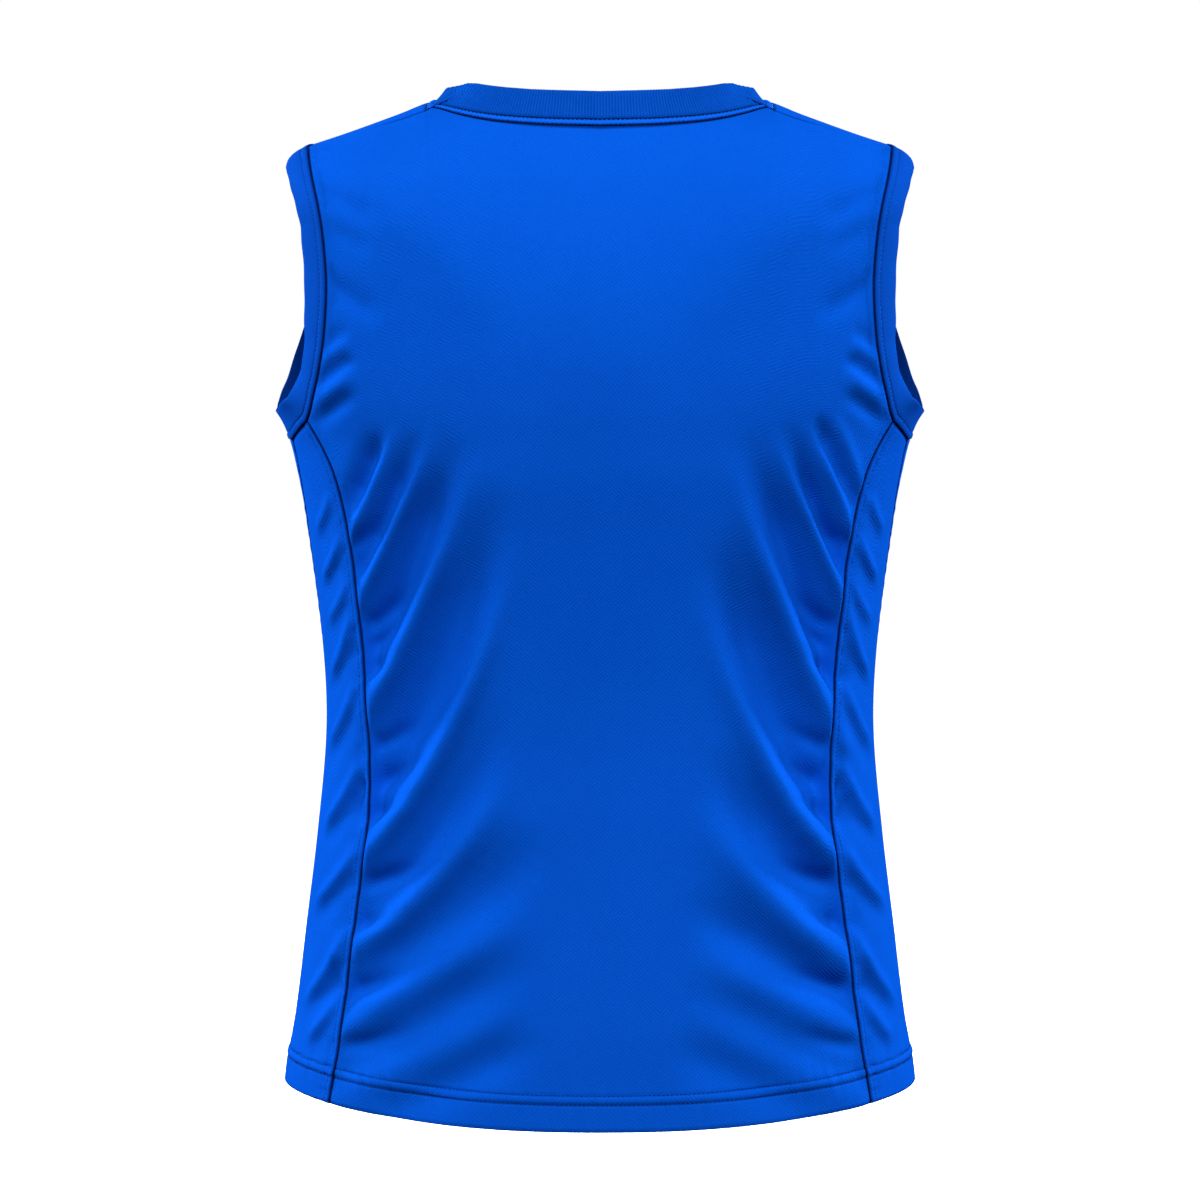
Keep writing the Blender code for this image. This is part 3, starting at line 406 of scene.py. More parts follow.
@dataclass(frozen=True)
class FoldedCloth:
    """The form with its folds: where every piece's cloth lies.

    Attributes:
        form: the torso.
        sets: the folds.
        samples: points along each spine.
        start: share of its lift that a fold has where it leaves the seam.
        grows: share of its length over which it reaches all of it.
        reach: half widths past which a fold is nothing.
        fullness: how much further the folds stand out than in the plain solids.
        spread: how much wider a trough is on its upper side than on its lower one.
        seam: the back's side seams and armholes, as rows of distance from the middle and
            height.
        held: share of its lift that the cloth keeps on those seams.
        held_width: over what distance from them the back gets the rest.
        felled_width: the same for the side panels, whose felled edges are stiff.
    """

    form: TorsoForm
    seam: tuple[Two, ...]
    sets: tuple[FoldSet, ...] = FOLDS
    samples: int = 13
    start: float = 0.60
    grows: float = 0.22
    reach: float = 3.2
    fullness: float = 2.7
    spread: float = 1.27
    held: float = 0.10
    held_width: float = 0.0026
    felled_width: float = 0.0065

    def spine(self, places: list[float], facing: Facing, hand: Hand) -> Array:
        """A fold's spine: a parabola through its three places, laid on the form.

        Args:
            places: three pairs of distance from the middle and height.
            facing: the side of the garment.
            hand: the half of it.

        Returns:
            Points along the spine.
        """
        start, middle, end = np.reshape(places, (3, 2))
        t = np.linspace(0.0, 1.0, self.samples)[:, None]
        flat = start * (1 - t) * (1 - 2 * t) + middle * 4 * t * (1 - t) + end * t * (2 * t - 1)
        place = self.form.back_place(flat[:, 0], flat[:, 1])
        if facing is Facing.FRONT:
            place = pair(-self.form.angle_at(flat[:, 0], flat[:, 1]), flat[:, 1])
        angle = place[:, 0] if hand is Hand.LEFT else 180.0 - place[:, 0]
        return self.form.point(angle, place[:, 1])

    def creases(self) -> list[Crease]:
        """Every fold of every set, on each half of the garment that has it.

        Returns:
            The folds, in the order of the table.
        """
        found = []
        for group in self.sets:
            for *places, width, out in np.array(group.rows) / METRE:
                upper = width * self.spread if out < 0 else width
                found += [Crease(self.spine(places, group.facing, hand), upper, width, out,
                                 group.fades) for hand in group.hands]
        return found

    def lift(self, points: Array) -> Array:
        """How far the folds lift the cloth.

        A fold's lift is a bell, exp(-(distance / width) squared), whose width goes smoothly
        from that of its upper side to that of its lower side as the way to the spine turns.
        Along the spine it starts at a share, grows to the whole and fades out. The stiff
        side seams hold the cloth, so the summed lift falls to a share there, by a bell.

        Args:
            points: points of the form.

        Returns:
            The summed lift at each.
        """
        flat = points.reshape(-1, 3)
        seam_side, seam_height = np.transpose(self.seam)
        off = np.abs(flat[:, 0]) - np.interp(flat[:, 2], seam_height, seam_side)
        width = np.where(off > 0, self.felled_width, self.held_width)
        free = 1 - (1 - self.held) * np.exp(-(off / width) ** 2) * (flat[:, 1] > 0)
        lift = np.zeros(len(flat))
        for crease in self.creases():
            room = self.reach * max(crease.upper_width, crease.lower_width)
            low, high = crease.spine.min(axis=0) - room, crease.spine.max(axis=0) + room
            near = np.flatnonzero(np.all((flat > low) & (flat < high), axis=1))
            if len(near):
                lift[near] += self.one_lift(flat[near], crease)
        return (lift * free).reshape(points.shape[:-1])

    def one_lift(self, points: Array, crease: Crease) -> Array:
        """One fold's lift, by the formula of lift.

        Args:
            points: points of the form.
            crease: the fold.

        Returns:
            The lift at each.
        """
        steps = np.diff(crease.spine, axis=0)
        ahead = points[:, None] - crease.spine[None, :-1]
        u = np.clip(np.sum(ahead * steps, axis=2) / np.sum(steps * steps, axis=1), 0.0, 1.0)
        away = ahead - u[..., None] * steps
        distance = np.linalg.norm(away, axis=2)
        stretch = np.argmin(distance, axis=1)
        every = np.arange(len(points))
        distance, away = distance[every, stretch], away[every, stretch]
        along = (stretch + u[every, stretch]) / len(steps)
        turned = 0.5 + 0.5 * away[:, 2] / np.maximum(distance, TINY)
        upper = turned * turned * (3 - 2 * turned)
        width = crease.lower_width + (crease.upper_width - crease.lower_width) * upper
        growth = self.start + (1 - self.start) * np.clip(along / self.grows, 0.0, 1.0)
        fade = np.clip((1 - along) / crease.fades, 0.0, 1.0)
        fade = fade * fade * (3 - 2 * fade)
        return self.fullness * crease.out * growth * fade * np.exp(-(distance / width) ** 2)

    def place(self, places: Array) -> Couple:
        """Points of the folded cloth and the form's normals there.

        Args:
            places: pairs of angle and height.

        Returns:
            The points and the normals.
        """
        points = self.form.point(places[..., 0], places[..., 1])
        normals = self.form.normal(places[..., 0], places[..., 1])
        return points + self.lift(points)[..., None] * normals, normals


# ---- cutting lines

@dataclass(frozen=True)
class JerseyCut:
    """The cutting lines of the jersey, as places (angle, height) on the form.

    Attributes:
        form: the torso.
        hem_side: height of the hem at the sides.
        hem_back_drop: how much lower it hangs in the middle of the back.
        hem_front_drop: the same in the middle of the front.
        hem_power: how soon the drop begins, going round from the side.
        seam_roll: degrees up the shoulder's roll at which its seam lies.
        neck_side: distance from the middle to a side neck point.
        front_neck: height of the neckline in the middle of the front.
        degree_length: metres that a degree counts for along a cutting line.
    """

    form: TorsoForm
    hem_side: float = -0.6455
    hem_back_drop: float = 0.0157
    hem_front_drop: float = 0.0110
    hem_power: float = 2.2
    seam_roll: float = 68.0
    neck_side: float = 0.1125
    front_neck: float = -0.085
    degree_length: float = 0.002
    back_neck: tuple = (
        (0.0000, -0.0190), (0.0449, -0.0174), (0.0681, -0.0151), (0.0830, -0.0124),
        (0.0954, -0.0092), (0.1050, -0.0062), (0.1125, -0.0048),
    )
    back_side_seam: tuple = (
        (0.1756, -0.6490), (0.1716, -0.6258), (0.1680, -0.6016), (0.1644, -0.5737),
        (0.1596, -0.5367), (0.1549, -0.5031), (0.1508, -0.4715), (0.1497, -0.4437),
        (0.1497, -0.4160), (0.1516, -0.3881), (0.1536, -0.3562), (0.1569, -0.3211),
        (0.1602, -0.2929), (0.1650, -0.2649), (0.1728, -0.2372), (0.1817, -0.2193),
        (0.1886, -0.2080),
    )
    back_armhole: tuple = (
        (0.1886, -0.2080), (0.1861, -0.2010), (0.1837, -0.1915), (0.1786, -0.1686),
        (0.1755, -0.1440), (0.1746, -0.1230), (0.1757, -0.1000), (0.1797, -0.0715),
        (0.1842, -0.0532), (0.1897, -0.0307),
    )
    front_side_seam: tuple = (
        (-5.0, -0.6455), (-5.0, -0.560), (-4.0, -0.480), (-3.0, -0.400), (0.0, -0.350),
        (6.0, -0.290), (10.0, -0.250), (12.0, -0.2205),
    )
    front_armhole: tuple = (
        (12.0, -0.2205), (3.0, -0.2212), (-7.0, -0.2185), (-17.0, -0.2100),
        (-26.0, -0.1950), (-33.0, -0.1720), (-38.5, -0.1430), (-42.0, -0.1080),
        (-42.5, -0.0800), (-40.7, -0.0500), (-37.8, -0.0200), (-35.0, 0.0040),
        (-33.0, 0.0217),
    )

    @property
    def tip(self) -> float:
        """Distance from the middle to the outer end of the shoulder seam."""
        return self.back_armhole[-1][0]

    def hem(self, angle: Array) -> Array:
        """Places on the hem: its side height less the drop times the sine to hem_power.

        Args:
            angle: degrees round the body.

        Returns:
            Pairs of angle and height.
        """
        sine = np.sin(np.radians(angle))
        drop = np.where(sine > 0, self.hem_back_drop, self.hem_front_drop)
        return pair(angle, self.hem_side - drop * np.abs(sine) ** self.hem_power)

    def line(self, rows: tuple, shares: Array, first_unit: float = 1.0) -> Couple:
        """Read a cutting line at shares of its length, on a cubic through its rows.

        Args:
            rows: the line's table of two columns.
            shares: shares of its length.
            first_unit: metres that one of the first column counts for.

        Returns:
            The two columns' values there.
        """
        table = np.asarray(rows, float)
        run = run_along(table * np.array([first_unit, 1.0]), 0)
        at = np.asarray(shares) * run[-1]
        return smooth(run, table[:, 0], at), smooth(run, table[:, 1], at)

    def shoulder_seam(self, side: Array, facing: Facing) -> Array:
        """Places on the shoulder seam, counted up the back or up the front and over.

        Args:
            side: distances from the middle.
            facing: which panel's cloth the height is counted along.

        Returns:
            Pairs of angle and height on the left half.
        """
        ridge = self.form.shoulder("ridge_height", side)
        back_roll = self.form.shoulder("back_roll", side)
        if facing is Facing.BACK:
            height = ridge - back_roll + back_roll * math.radians(self.seam_roll)
            return pair(self.form.angle_at(side, height), height)
        roll = self.form.shoulder("front_roll", side)
        height = ridge - roll + roll * math.pi / 2 + back_roll * math.radians(90 - self.seam_roll)
        return pair(360.0 - self.form.angle_at(side, height), height)

    def side_edge(self, facing: Facing, seam_shares: Array,
                  armhole_shares: Array) -> Couple:
        """Places up a panel's left edge: the side seam, then the armhole.

        Args:
            facing: the panel.
            seam_shares: shares of the seam's length.
            armhole_shares: shares of the armhole edge's length.

        Returns:
            The seam's places and the armhole edge's; they share the underarm place.
        """
        if facing is Facing.BACK:
            seam = self.form.back_place(*self.line(self.back_side_seam, seam_shares))
            armhole = self.form.back_place(*self.line(self.back_armhole, armhole_shares))
        else:
            metres = self.degree_length
            seam = pair(*self.line(self.front_side_seam, seam_shares, metres)) + FULL_TURN
            armhole = pair(*self.line(self.front_armhole, armhole_shares, metres)) + FULL_TURN
        seam[0] = self.hem(seam[0, 0])
        armhole[0] = seam[-1]
        armhole[-1] = self.shoulder_seam(np.array(self.tip), facing)
        return seam, armhole

    def neckline(self, facing: Facing, count: int) -> Array:
        """Places along half a neckline, from the middle to the side neck point.

        The front's is a quarter oval in distance from the middle and height up the cloth.

        Args:
            facing: the panel.
            count: how many stretches.

        Returns:
            count + 1 places on the left half.
        """
        shares = np.linspace(0.0, 1.0, count + 1)
        if facing is Facing.BACK:
            places = self.form.back_place(*self.line(self.back_neck, shares))
            places[-1] = self.shoulder_seam(np.array(self.neck_side), facing)
            return places
        roll = self.form.shoulder("front_roll", 0.0)
        foot = self.form.shoulder("ridge_height", 0.0) - roll
        lowest = foot + roll * math.asin((self.front_neck - foot) / roll)
        highest = self.shoulder_seam(np.array(self.neck_side), facing)[1]
        side = self.neck_side * np.sin(shares * math.pi / 2)
        height = highest - (highest - lowest) * np.cos(shares * math.pi / 2)
        return pair(360.0 - self.form.angle_at(side, height), height)

    def top_edge(self, facing: Facing, neck_columns: int, seam_shares: Array) -> Array:
        """Places along half a panel's upper edge: the neckline, then the shoulder seam.

        Args:
            facing: the panel.
            neck_columns: stretches along the neckline.
            seam_shares: shares of the shoulder seam's width.

        Returns:
            The places on the left half, from the middle out.
        """
        sides = self.neck_side + (self.tip - self.neck_side) * seam_shares
        seam = self.shoulder_seam(sides, facing)
        return np.concatenate([self.neckline(facing, neck_columns)[:-1], seam])


# ---- meshes

INSIDE_SHADE = 0.6        # share of the seams' navy painted on the cloth's inner side as shade
SHARP = math.radians(48.0)              # edges that turn further than this stay hard


def put_in_scene(name: str, data: bpy.types.ID) -> Thing:
    """Make an object and link it to the scene.

    Args:
        name: its name.
        data: its mesh, light or camera.

    Returns:
        The object.
    """
    thing = bpy.data.objects.new(name, data)
    bpy.context.scene.collection.objects.link(thing)
    return thing


def make_piece(name: str, points: Array, quads: Array, corner_uv: Array,
               depth: Array) -> Thing:
    """A closed mesh object at the origin, smooth but for its hard edges.

    Args:
        name: the piece's name.
        points: its vertices.
        quads: four vertex numbers for each face, counter-clockwise from outside.
        corner_uv: a pair of metres across and along the cloth for each face corner.
        depth: share of painted shadow at each vertex, from 0 to 1, in a seam or needle line.

    Returns:
        The object, linked to the scene.
    """
    mesh = bpy.data.meshes.new(name)
    mesh.from_pydata(points.reshape(-1, 3).tolist(), [], quads.reshape(-1, 4).tolist())
    layer = mesh.uv_layers.new(name="cloth")
    layer.data.foreach_set("uv", corner_uv.astype(np.float32).ravel())
    # painted shade for the materials: how far each vertex's colour goes towards navy in seams,
    # needle lines and grooves
    seam = mesh.attributes.new("seam", "FLOAT", "POINT")
    seam.data.foreach_set("value", np.clip(depth, 0.0, 1.0).astype(np.float32).ravel())
    mesh.shade_smooth()
    mesh.set_sharp_from_angle(angle=SHARP)
    mesh.validate()
    return put_in_scene(name, mesh)


def shell_piece(name: str, outer: Array, inner: Array, cloth_uv: Array, normals: Array,
                depth: Array) -> Thing:
    """A thin closed shell: an outer grid, an inner one, and quads round their four edges.

    Args:
        name: the piece's name.
        outer: grid of outer points.
        inner: grid of inner points.
        cloth_uv: metres across and along the cloth, for each place of the grid.
        normals: outward normals of the grid.
        depth: painted shadow of each outer point in a seam or needle line; the inner grid gets the
            painted inside shade.

    Returns:
        The object.
    """
    rows, columns = outer.shape[:2]
    count = rows * columns
    index = np.arange(count).reshape(rows, columns)
    face = np.stack([index[:-1, :-1], index[:-1, 1:], index[1:, 1:], index[1:, :-1]], axis=-1)
    face = face.reshape(-1, 4)
    ring = np.concatenate([index[0, :-1], index[:-1, -1], index[-1, :0:-1], index[:0:-1, 0]])
    ahead = np.roll(ring, -1)
    edge = np.stack([ahead, ring, ring + count, ahead + count], axis=-1)
    quads = np.concatenate([face, face[:, ::-1] + count, edge])
    middle = (rows // 2, columns // 2)
    across = outer[middle[0], middle[1] + 1] - outer[middle]
    along = outer[middle[0] + 1, middle[1]] - outer[middle]
    if np.cross(across, along) @ normals[middle] < 0:
        quads = quads[:, ::-1]
    uv = np.concatenate([cloth_uv.reshape(-1, 2)] * 2)[quads]
    points = np.concatenate([outer.reshape(-1, 3), inner.reshape(-1, 3)])
    # the inner grid takes the painted inside shade
    depth = np.concatenate([depth.ravel(), np.full(count, INSIDE_SHADE)])
    return make_piece(name, points, quads, uv, depth)


def ring_piece(name: str, rings: Array, run: Array, reach: Array,
               depth: Array) -> Thing:
    """A closed tube-like piece from rings of equal length, the last joined to the first.

    Args:
        name: the piece's name.
        rings: points by ring and by place along it.
        run: metres along the ring, one more than it has places.
        reach: metres across the cloth, one more than there are rings.
        depth: painted shadow of each ring, or each of its points, in a seam or needle line.

    Returns:
        The object.
    """
    count, length = rings.shape[:2]
    i, j = np.meshgrid(np.arange(count), np.arange(length), indexing="ij")
    near, far = i * length, ((i + 1) % count) * length
    after = (j + 1) % length
    quads = np.stack([near + j, near + after, far + after, far + j], axis=-1).reshape(-1, 4)
    uv = np.stack([
        pair(run[j], reach[i]), pair(run[j + 1], reach[i]),
        pair(run[j + 1], reach[i + 1]), pair(run[j], reach[i + 1]),
    ], axis=2).reshape(-1, 4, 2)
    middle = rings.mean(axis=(0,))
    outward = rings[0, 0] - middle[0]
    side = np.cross(rings[0, 1] - rings[0, 0], rings[1, 0] - rings[0, 0])
    if side @ outward < 0:
        quads, uv = quads[:, ::-1], uv[:, ::-1]
    return make_piece(name, rings, quads, uv, np.broadcast_to(depth, (count, length)))


@dataclass(frozen=True)
class Sewing:
    """How the edges and needle lines of a panel stand out or sink in, and the shadow painted in
    them.

    Attributes:
        edge_depth: how far an edge rolls under.
        edge_width: over what width it does.
        needle_depth: how far a needle line pulls the cloth in.
        needle_width: its half width.
        pucker: height of the small waves beside a needle line.
        pucker_length: their wave length.
        pucker_waves: share of the height, times as often and start of each wave.
        pucker_reach: how far from the line they are seen.
        hem_lines: distances of the hem's needle lines from its edge.
        hem_roll: how far the cloth between them stands out.
        roll_power: how full that roll is; below one it is fuller than a sine.
        hem_raise: how far the turned hem stands out.
        felled_width: width of the felled seam beside a side seam.
        felled_raise: how far it stands out.
        felled_line: distance of its needle line from the seam.
        step_width: width over which raised cloth falls to the rest.
        edge_dark: over what width from an edge the seam's shadow lies.
        needle_dark: the same either side of a needle line.
        hem_shares: how dark each of them is beside a seam.
        seam_share: how dark a felled seam's or a band's is.
    """

    edge_depth: float = 0.0011
    edge_width: float = 0.0014
    needle_depth: float = 0.00055
    needle_width: float = 0.0008
    pucker: float = 0.00016
    pucker_length: float = 0.0085
    pucker_waves: tuple[Three, ...] = ((1.0, 1.0, 0.0), (0.7, 0.618, 1.3), (0.4, 1.83, 0.4))
    pucker_reach: float = 0.007
    hem_lines: Two = (0.0178, 0.0236)
    hem_roll: float = 0.00055
    roll_power: float = 0.8
    hem_raise: float = 0.00025
    felled_width: float = 0.0056
    felled_raise: float = 0.0008
    felled_line: float = 0.0045
    step_width: float = 0.001
    # edge_dark: over what width from an edge the seam's painted shadow lies. needle_dark: the same
    # either side of a needle line. hem_shares: how much painted shadow each of them has beside a
    # seam. seam_share: how much painted shadow a felled seam's or a band's needle line has.
    edge_dark: float = 0.0008
    needle_dark: float = 0.0006
    hem_shares: Two = (0.80, 0.42)
    seam_share: float = 0.30

    def edge_shadow(self, *distances: Array) -> Array:
        """The shadow beside one or more edges: a bell of edge_dark on each distance."""
        return sum(np.exp(-(distance / self.edge_dark) ** 2) for distance in distances)

    def needle_shadow(self, distance: Array, at: float, share: float) -> Array:
        """The shadow in a needle line: a bell of needle_dark round it."""
        return share * np.exp(-((distance - at) / self.needle_dark) ** 2)

    def hem_shadow(self, distance: Array) -> Array:
        """The shadows in a hem's two needle lines."""
        return sum(self.needle_shadow(distance, at, share)
                   for at, share in zip(self.hem_lines, self.hem_shares))

    def rolled_edge(self, *distances: Array) -> Array:
        """Sinks by edge_depth times one less the share of edge_width, squared, at each edge."""
        return sum(-self.edge_depth * np.clip(1 - distance / self.edge_width, 0.0, 1.0) ** 2
                   for distance in distances)

    def needle(self, distance: Array, at: float, run: Array) -> Array:
        """A needle line and the puckers beside it.

        The line sinks as a bell. The puckers are a sum of sine waves along the run, fading
        with the distance from the line.

        Args:
            distance: distance from the edge that the line follows.
            at: the line's own distance from that edge.
            run: metres along the edge.

        Returns:
            The change of height.
        """
        off = distance - at
        turn = 2 * math.pi * run / self.pucker_length
        waves = ripple(self.pucker_waves, turn)
        line = -self.needle_depth * np.exp(-(off / self.needle_width) ** 2)
        return line + self.pucker * waves * np.exp(-np.abs(off) / self.pucker_reach)

    def hem(self, distance: Array, run: Array) -> Array:
        """The turned hem: its two needle lines, the roll between them and the double cloth.

        Args:
            distance: distance from the hem's edge.
            run: metres along it.

        Returns:
            The change of height.
        """
        low, high = self.hem_lines
        between = np.clip((distance - low) / (high - low), 0.0, 1.0)
        height = self.hem_roll * np.sin(math.pi * between) ** self.roll_power
        height = height + self.hem_raise * step_down(distance, high, self.step_width)
        return height + self.needle(distance, low, run) + self.needle(distance, high, run)

    def felled(self, distance: Array, run: Array, share: float = 1.0) -> Array:
        """A felled seam: a raised strip beside the seam, with a needle line near its edge."""
        strip = self.felled_raise * share * step_down(distance, self.felled_width, self.step_width)
        return strip + self.needle(distance, self.felled_line, run)


# ---- panels

@dataclass(frozen=True)
class RowPlan:
    """The rows that every panel's grid has, so that neighbours share their seam's points.

    Attributes:
        seam_length: length of a side seam.
        armhole_length: length of an armhole edge.
        hem_zone: height above the hem with the finest rows.
        hem_step: their spacing.
        step: the spacing of the others.
        edge_steps: distances from the shoulder seam of the rows next to it.
    """

    seam_length: float = 0.445
    armhole_length: float = 0.205
    hem_zone: float = 0.028
    hem_step: float = 0.0010
    step: float = 0.0027
    edge_steps: tuple[float, ...] = (0.0, 0.00035, 0.0008, 0.0014, 0.0022, 0.0034)

    def seam_shares(self) -> Array:
        """Where the rows lie on the side seam: fine in the hem, then even.

        Returns:
            Rising shares of its length.
        """
        fine = np.arange(0.0, self.hem_zone, self.hem_step)
        even = np.linspace(self.hem_zone, self.seam_length,
                           round((self.seam_length - self.hem_zone) / self.step) + 1)
        return np.concatenate([fine, even]) / self.seam_length

    def armhole_shares(self) -> Array:
        """Shares of the armhole edge: even, then finer towards the shoulder seam."""
        return finer_to_end(self.armhole_length, self.step, self.edge_steps)


def finer_to_end(length: float, step: float, edge_steps: tuple[float, ...]) -> Array:
    """Shares of a length: evenly spaced, and closer at given distances from its end.

    Args:
        length: the whole length in metres.
        step: the even spacing.
        edge_steps: distances from the end, rising from nothing.

    Returns:
        Rising shares from 0 to 1.
    """
    plain = length - edge_steps[-1]
    even = np.linspace(0.0, plain, round(plain / step) + 1)
    return np.concatenate([even[:-1], length - np.array(edge_steps[::-1])]) / length


@dataclass(frozen=True)
class Pattern:
    """What every piece is made from.

    Attributes:
        cloth: the folded cloth.
        cut: the cutting lines.
        plan: the rows of the panels' grids.
        sewing: the relief and the shadows of edges and needle lines.
    """

    cloth: FoldedCloth
    cut: JerseyCut
    plan: RowPlan
    sewing: Sewing

    def side_edge(self, facing: Facing) -> Couple:
        """A panel's side seam and armhole edge, with a place for each row of the plan."""
        return self.cut.side_edge(facing, self.plan.seam_shares(), self.plan.armhole_shares())


@dataclass(frozen=True)
class BodyPanel:
    """The back or the front: one piece from the hem to the shoulder seams.

    Attributes:
        facing: back or front.
        middle: angle of its middle.
        neck_columns: columns of half its neckline.
        neck_share: share of the half hem below those columns.
        hem_half: length of half the hem below the shoulder seam's columns.
        step: spacing of those columns.
        flat: width and length of the cut.
        area: area of the cut.
        wall: thickness of the shell.
        top_begins: share of its height from which its rows take the top's shape.
        top_power: how gently they do.
        hem_samples: places by which the hem's length is measured.
        felled_share: height of the front's felled strip beside a side panel's.
        edge_steps: distances from the side edge of the columns next to it.
    """

    facing: Facing
    middle: float
    neck_columns: int
    neck_share: float
    hem_half: float
    step: float
    flat: Two
    area: float
    wall: float = 0.0010
    top_begins: float = 0.55
    top_power: float = 1.6
    hem_samples: int = 400
    felled_share: float = 0.6
    edge_steps: tuple[float, ...] = (0.0, 0.0004, 0.0009, 0.0015, 0.0024, 0.0036)

    def places(self, pattern: Pattern) -> Array:
        """The panel's grid of places: rows go up, columns from right to left.

        A row runs straight from the middle to the side edge. The hem's own shape is added
        to it, less and less going up, and the top's own shape, more and more towards the
        top, as the share above top_begins to top_power.

        Args:
            pattern: the cutting lines and the rows.

        Returns:
            Pairs of angle and height, by row and column.
        """
        cut = pattern.cut
        seam, armhole = pattern.side_edge(self.facing)
        side = np.concatenate([seam, armhole[1:]])
        seam_columns = finer_to_end(self.hem_half, self.step, self.edge_steps)
        even = np.concatenate([
            np.linspace(0.0, self.neck_share, self.neck_columns + 1)[:-1],
            self.neck_share + (1 - self.neck_share) * seam_columns,
        ])
        angles = np.linspace(self.middle, side[0, 0], self.hem_samples)
        hem = cut.hem(angles)
        run = cut.form.cloth_run(hem, 0)
        shares = np.interp(even * run[-1], run, np.linspace(0.0, 1.0, len(angles)))
        bottom = cut.hem(self.middle + (side[0, 0] - self.middle) * shares)
        top = cut.top_edge(self.facing, self.neck_columns, seam_columns)
        up = cut.form.cloth_run(side, 0)
        up = up / up[-1]
        middle = pair(np.full(len(side), float(self.middle)),
                      bottom[0, 1] + (top[0, 1] - bottom[0, 1]) * up)
        s, t = shares[None, :, None], up[:, None, None]
        rise = np.clip((t - self.top_begins) / (1 - self.top_begins), 0.0, 1.0) ** self.top_power
        straight = (1 - s) * middle[:, None] + s * side[:, None]
        hem_shape = bottom[None] - (1 - s) * bottom[0] - s * bottom[-1]
        top_shape = top[None] - (1 - s) * top[0] - s * top[-1]
        half = straight + (1 - t) * hem_shape + rise * top_shape
        other = half[:, :0:-1].copy()
        other[..., 0] = 2 * self.middle - other[..., 0]
        return np.concatenate([other, half], axis=1)

    def build(self, pattern: Pattern) -> "BuiltPanel":
        """Lay the panel on the folded cloth and give it its sewn relief.

        Args:
            pattern: what it is made from.

        Returns:
            The panel with its object and its lengths.
        """
        sewing = pattern.sewing
        points, normals = pattern.cloth.place(self.places(pattern))
        across, up = run_along(points, 1), run_along(points, 0)
        from_edge = np.minimum(across, across[:, -1:] - across)
        relief = sewing.rolled_edge(from_edge, up[-1:] - up, up) + sewing.hem(up, across)
        if self.facing is Facing.FRONT:
            below = np.arange(len(points))[:, None] < len(pattern.plan.seam_shares())
            relief = relief + below * sewing.felled(from_edge, up, self.felled_share)
        outer = points + relief[..., None] * normals
        centred = across - across[:, across.shape[1] // 2][:, None]
        # painted shadow along the panel's edges and in the hem's needle lines
        depth = sewing.edge_shadow(from_edge, up[-1:] - up) + sewing.hem_shadow(up)
        piece = shell_piece(f"{self.facing.value}_panel", outer, points - self.wall * normals,
                            pair(centred, up), normals, depth)
        return BuiltPanel(piece, outer, normals, up, from_edge)


@dataclass(frozen=True)
class BuiltPanel:
    """A finished panel and what its stitches are placed by.

    Attributes:
        piece: its object.
        outer: its outer points.
        normals: outward normals.
        up: length of cloth from the hem.
        from_edge: length of cloth from the seam that its felled strip follows.
    """

    piece: Thing
    outer: Array
    normals: Array
    up: Array
    from_edge: Array

    def line_at(self, lengths: Array, at: float, axis: int) -> Couple:
        """The line of cloth that lies at one length, across the whole grid.

        In every column (or row) the two places that the length falls between are found, and
        the point is read between them.

        Args:
            lengths: lengths that rise along the axis.
            at: the length to follow.
            axis: 0 to follow it across the columns, 1 up the rows.

        Returns:
            The line's points and normals.
        """
        lengths, points, normals = (np.moveaxis(part, axis, 0)
                                    for part in (lengths, self.outer, self.normals))
        after = np.argmax(lengths >= at, axis=0)
        every = np.arange(lengths.shape[1])
        low, high = lengths[after - 1, every], lengths[after, every]
        share = ((at - low) / (high - low))[:, None]
        line = points[after - 1, every] * (1 - share) + points[after, every] * share
        return line, normals[after, every]


